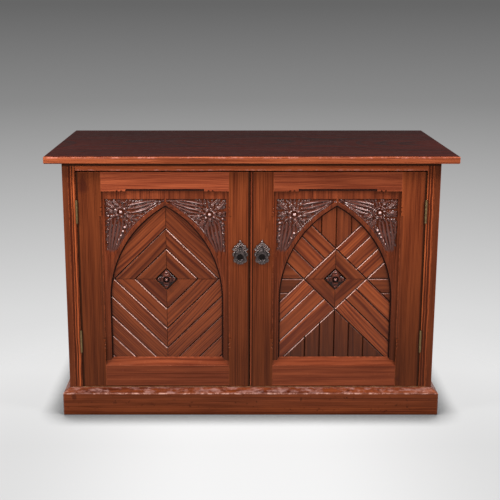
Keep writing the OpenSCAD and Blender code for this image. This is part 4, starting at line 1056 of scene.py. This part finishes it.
def pull_section(angle):
    """Inner and outer reach of the pull from the middle of its ring, in one direction."""
    lean = math.acos((RING_R - NECK_R) / RING_DROP)
    from_top = abs((angle - math.pi / 2 + math.pi) % math.tau - math.pi)
    if from_top > lean:
        return HOLE_R, RING_R
    straight = RING_R / math.cos(lean - from_top)
    return HOLE_R, min(straight, (RING_DROP - NECK_GAP) / max(math.cos(from_top), 0.2))


def handle_pull(side):
    """The drop pull: a pear-shaped ring of rounded section, swelling to a collar under its barrel."""
    steps, around = 96, 14
    vertices = []
    for i in range(steps):
        angle = math.tau * i / steps
        inner, outer = pull_section(angle)
        middle, reach = (inner + outer) / 2, (outer - inner) / 2
        for k in range(around):
            turn = math.tau * k / around
            across = math.copysign(abs(math.cos(turn)) ** 0.8, math.cos(turn))
            out = math.copysign(abs(math.sin(turn)) ** 0.7, math.sin(turn)) * PULL_T / 2
            if math.sin(turn) > 0:
                out -= 0.55 * math.exp(-((across - 0.35) / 0.13) ** 2)
            r = middle + reach * across
            out += PLATE_T + PULL_CLEAR + PULL_T / 2
            vertices.append((r * math.cos(angle), r * math.sin(angle) - RING_DROP, out))
    ring_mesh = bpy.data.meshes.new("ring")
    ring_mesh.from_pydata(vertices, [], tube_faces([(i, (i + 1) % steps) for i in range(steps)], around))
    collar = [(2.6, 1.8), (3.0, 2.2), (3.0, 3.9), (2.4, 4.5), (BORE_R, 4.5)]
    barrel = [(r, -h) for r, h in reversed(collar)] + collar + [(BORE_R, -4.5)]
    parts = [ring_mesh, turned(barrel, (0, 0, PIVOT_OUT), across=True),
             turned(dome(2.6, 1.7, 1.0), (0, -7.2, PIVOT_OUT + 1.6))]
    cast_piece(side, "pull", "_cast", parts)


STUDIO_GREY = (0.15, 0.15, 0.15, 1)
# Grey of the backdrop against the height of the direction it is seen in
BACKDROP = ((-0.58, 218), (-0.5, 222), (-0.41, 231), (-0.33, 218), (-0.22, 184), (-0.107, 137), (0.0, 102),
            (0.3, 92))
# Name, place, what it points at, size and power of each lamp
LAMPS = (("front", (-0.4, -2.3, 1.55), (0, -0.27, 0.7), (1.2, 0.7), 24),
         ("left", (-1.5, -0.75, 1.9), (0.2, -0.27, 0.5), (0.55, 0.55), 38),
         ("right", (1.5, -0.75, 1.9), (-0.2, -0.27, 0.5), (0.55, 0.55), 38))
FLOOR_R = 9
# How far from the cabinet the floor starts to fade, and where it is gone
FADE_FROM, FADE_TO = 0.85, 1.4


def area_lamp(name, place, target, size, power):
    light = bpy.data.lights.new(name, "AREA")
    light.shape = "RECTANGLE"
    light.size, light.size_y = size
    light.energy = power
    lamp = bpy.data.objects.new(name, light)
    lamp.location = place
    lamp.rotation_euler = (Vector(target) - Vector(place)).to_track_quat("-Z", "Y").to_euler()
    lamp.visible_camera = False
    bpy.context.collection.objects.link(lamp)


def backdrop():
    """A grey gradient where the sky is seen, and an even grey light from it."""
    world = bpy.data.worlds.new("studio")
    g = Graph(world, "Background")
    bpy.context.scene.world = world
    low, high = BACKDROP[0][0], BACKDROP[-1][0]
    height = g.split(g.node("TexCoord").outputs["Generated"])[2]
    ramp = g.node("ValToRGB", {0: g.span(height, low, high)})
    stops = ramp.color_ramp.elements
    while len(stops) < len(BACKDROP):
        stops.new(0.5)
    for stop, (at, tone) in zip(stops, BACKDROP):
        stop.position = (at - low) / (high - low)
        stop.color = colour(tone, tone, tone)
    g.put("Color", g.mix(g.seen(), STUDIO_GREY, ramp.outputs[0]))


def studio_floor():
    """A pale floor that fades out with distance, brighter in the middle as a painted pool of light, with a painted
    soft shadow under the cabinet.
    """
    bpy.ops.mesh.primitive_circle_add(vertices=96, radius=FLOOR_R, fill_type="NGON")
    floor = bpy.context.object
    floor.name = "studio_floor"
    g = Graph(bpy.data.materials.new("floor"))
    x, y, _ = g.split(g.node("TexCoord").outputs["Object"])
    away = g.reach(g.times(x, 0.9), g.add(y, 0.45))
    # Painted shadow: the floor darkened next to the cabinet, on its lit and its glowing part
    painted_shadow_factor = g.most(g.minus(1.0, g.times(g.crevice(0.09), 2.1)), 0.25)
    matt = g.node("BsdfDiffuse", {"Color": g.shade(STUDIO_GREY, painted_shadow_factor)})
    # Painted pool of light: the glow brightest in the middle and a little brighter further back
    aside = g.span(g.math("ABSOLUTE", x), 0.15, 0.8, 0.7, 0.53, smooth=True)
    painted_light_pool = g.add(aside, g.span(y, -0.5, 0.1, 0.0, 0.14))
    glow = g.node("Emission", {"Strength": g.times(g.seen(), painted_shadow_factor, painted_light_pool)})
    lit = g.node("AddShader", {0: matt.outputs[0], 1: glow.outputs[0]})
    clear = g.node("BsdfTransparent")
    faded = g.span(away, FADE_FROM, FADE_TO, smooth=True)
    blend = g.node("MixShader", {0: faded, 1: lit.outputs[0], 2: clear.outputs[0]})
    g.feed(g.tree.nodes["Material Output"].inputs["Surface"], blend.outputs[0])
    floor.data.materials.append(g.owner)


def camera():
    """The photograph's view: a long lens, a little above the cabinet's top."""
    focal_px, frame_px, sensor = 869.5, 500, 36
    tilt_down = 11.42
    data = bpy.data.cameras.new("photo_view")
    data.sensor_width = sensor
    data.lens = focal_px / frame_px * sensor
    data.shift_x = 0.033
    data.shift_y = -0.14
    view = bpy.data.objects.new("photo_view", data)
    view.location = (-0.059, -3.067, 1.389)
    view.rotation_euler = (math.radians(90 - tilt_down), 0, 0)
    bpy.context.collection.objects.link(view)
    bpy.context.scene.camera = view


camera()
backdrop()
for lamp in LAMPS:
    area_lamp(*lamp)
studio_floor()
for node_name, node_piece in frame["nodes"].items():
    dress_node(node_name, node_piece)
carved = carved_pine("carved_pine", 0.75)
carved_block = carved_pine("carved_block", 0.32)
quirk_shadow = shadow_gap()
# Plain spandrel wood with painted light, dark low down and light high up
uncarved = pine("carved_pine", "Z", "straight", (0.42, 1.17))
for node_name, carving in CARVINGS.items():
    spandrel(node_name, carving, carved, uncarved, quirk_shadow)
for door in ("left", "right"):
    rosette(f"{door}_rosette", carved_block)
    handle_plate(door)
    handle_pull(door)

bpy.context.scene.view_settings.view_transform = "Standard"
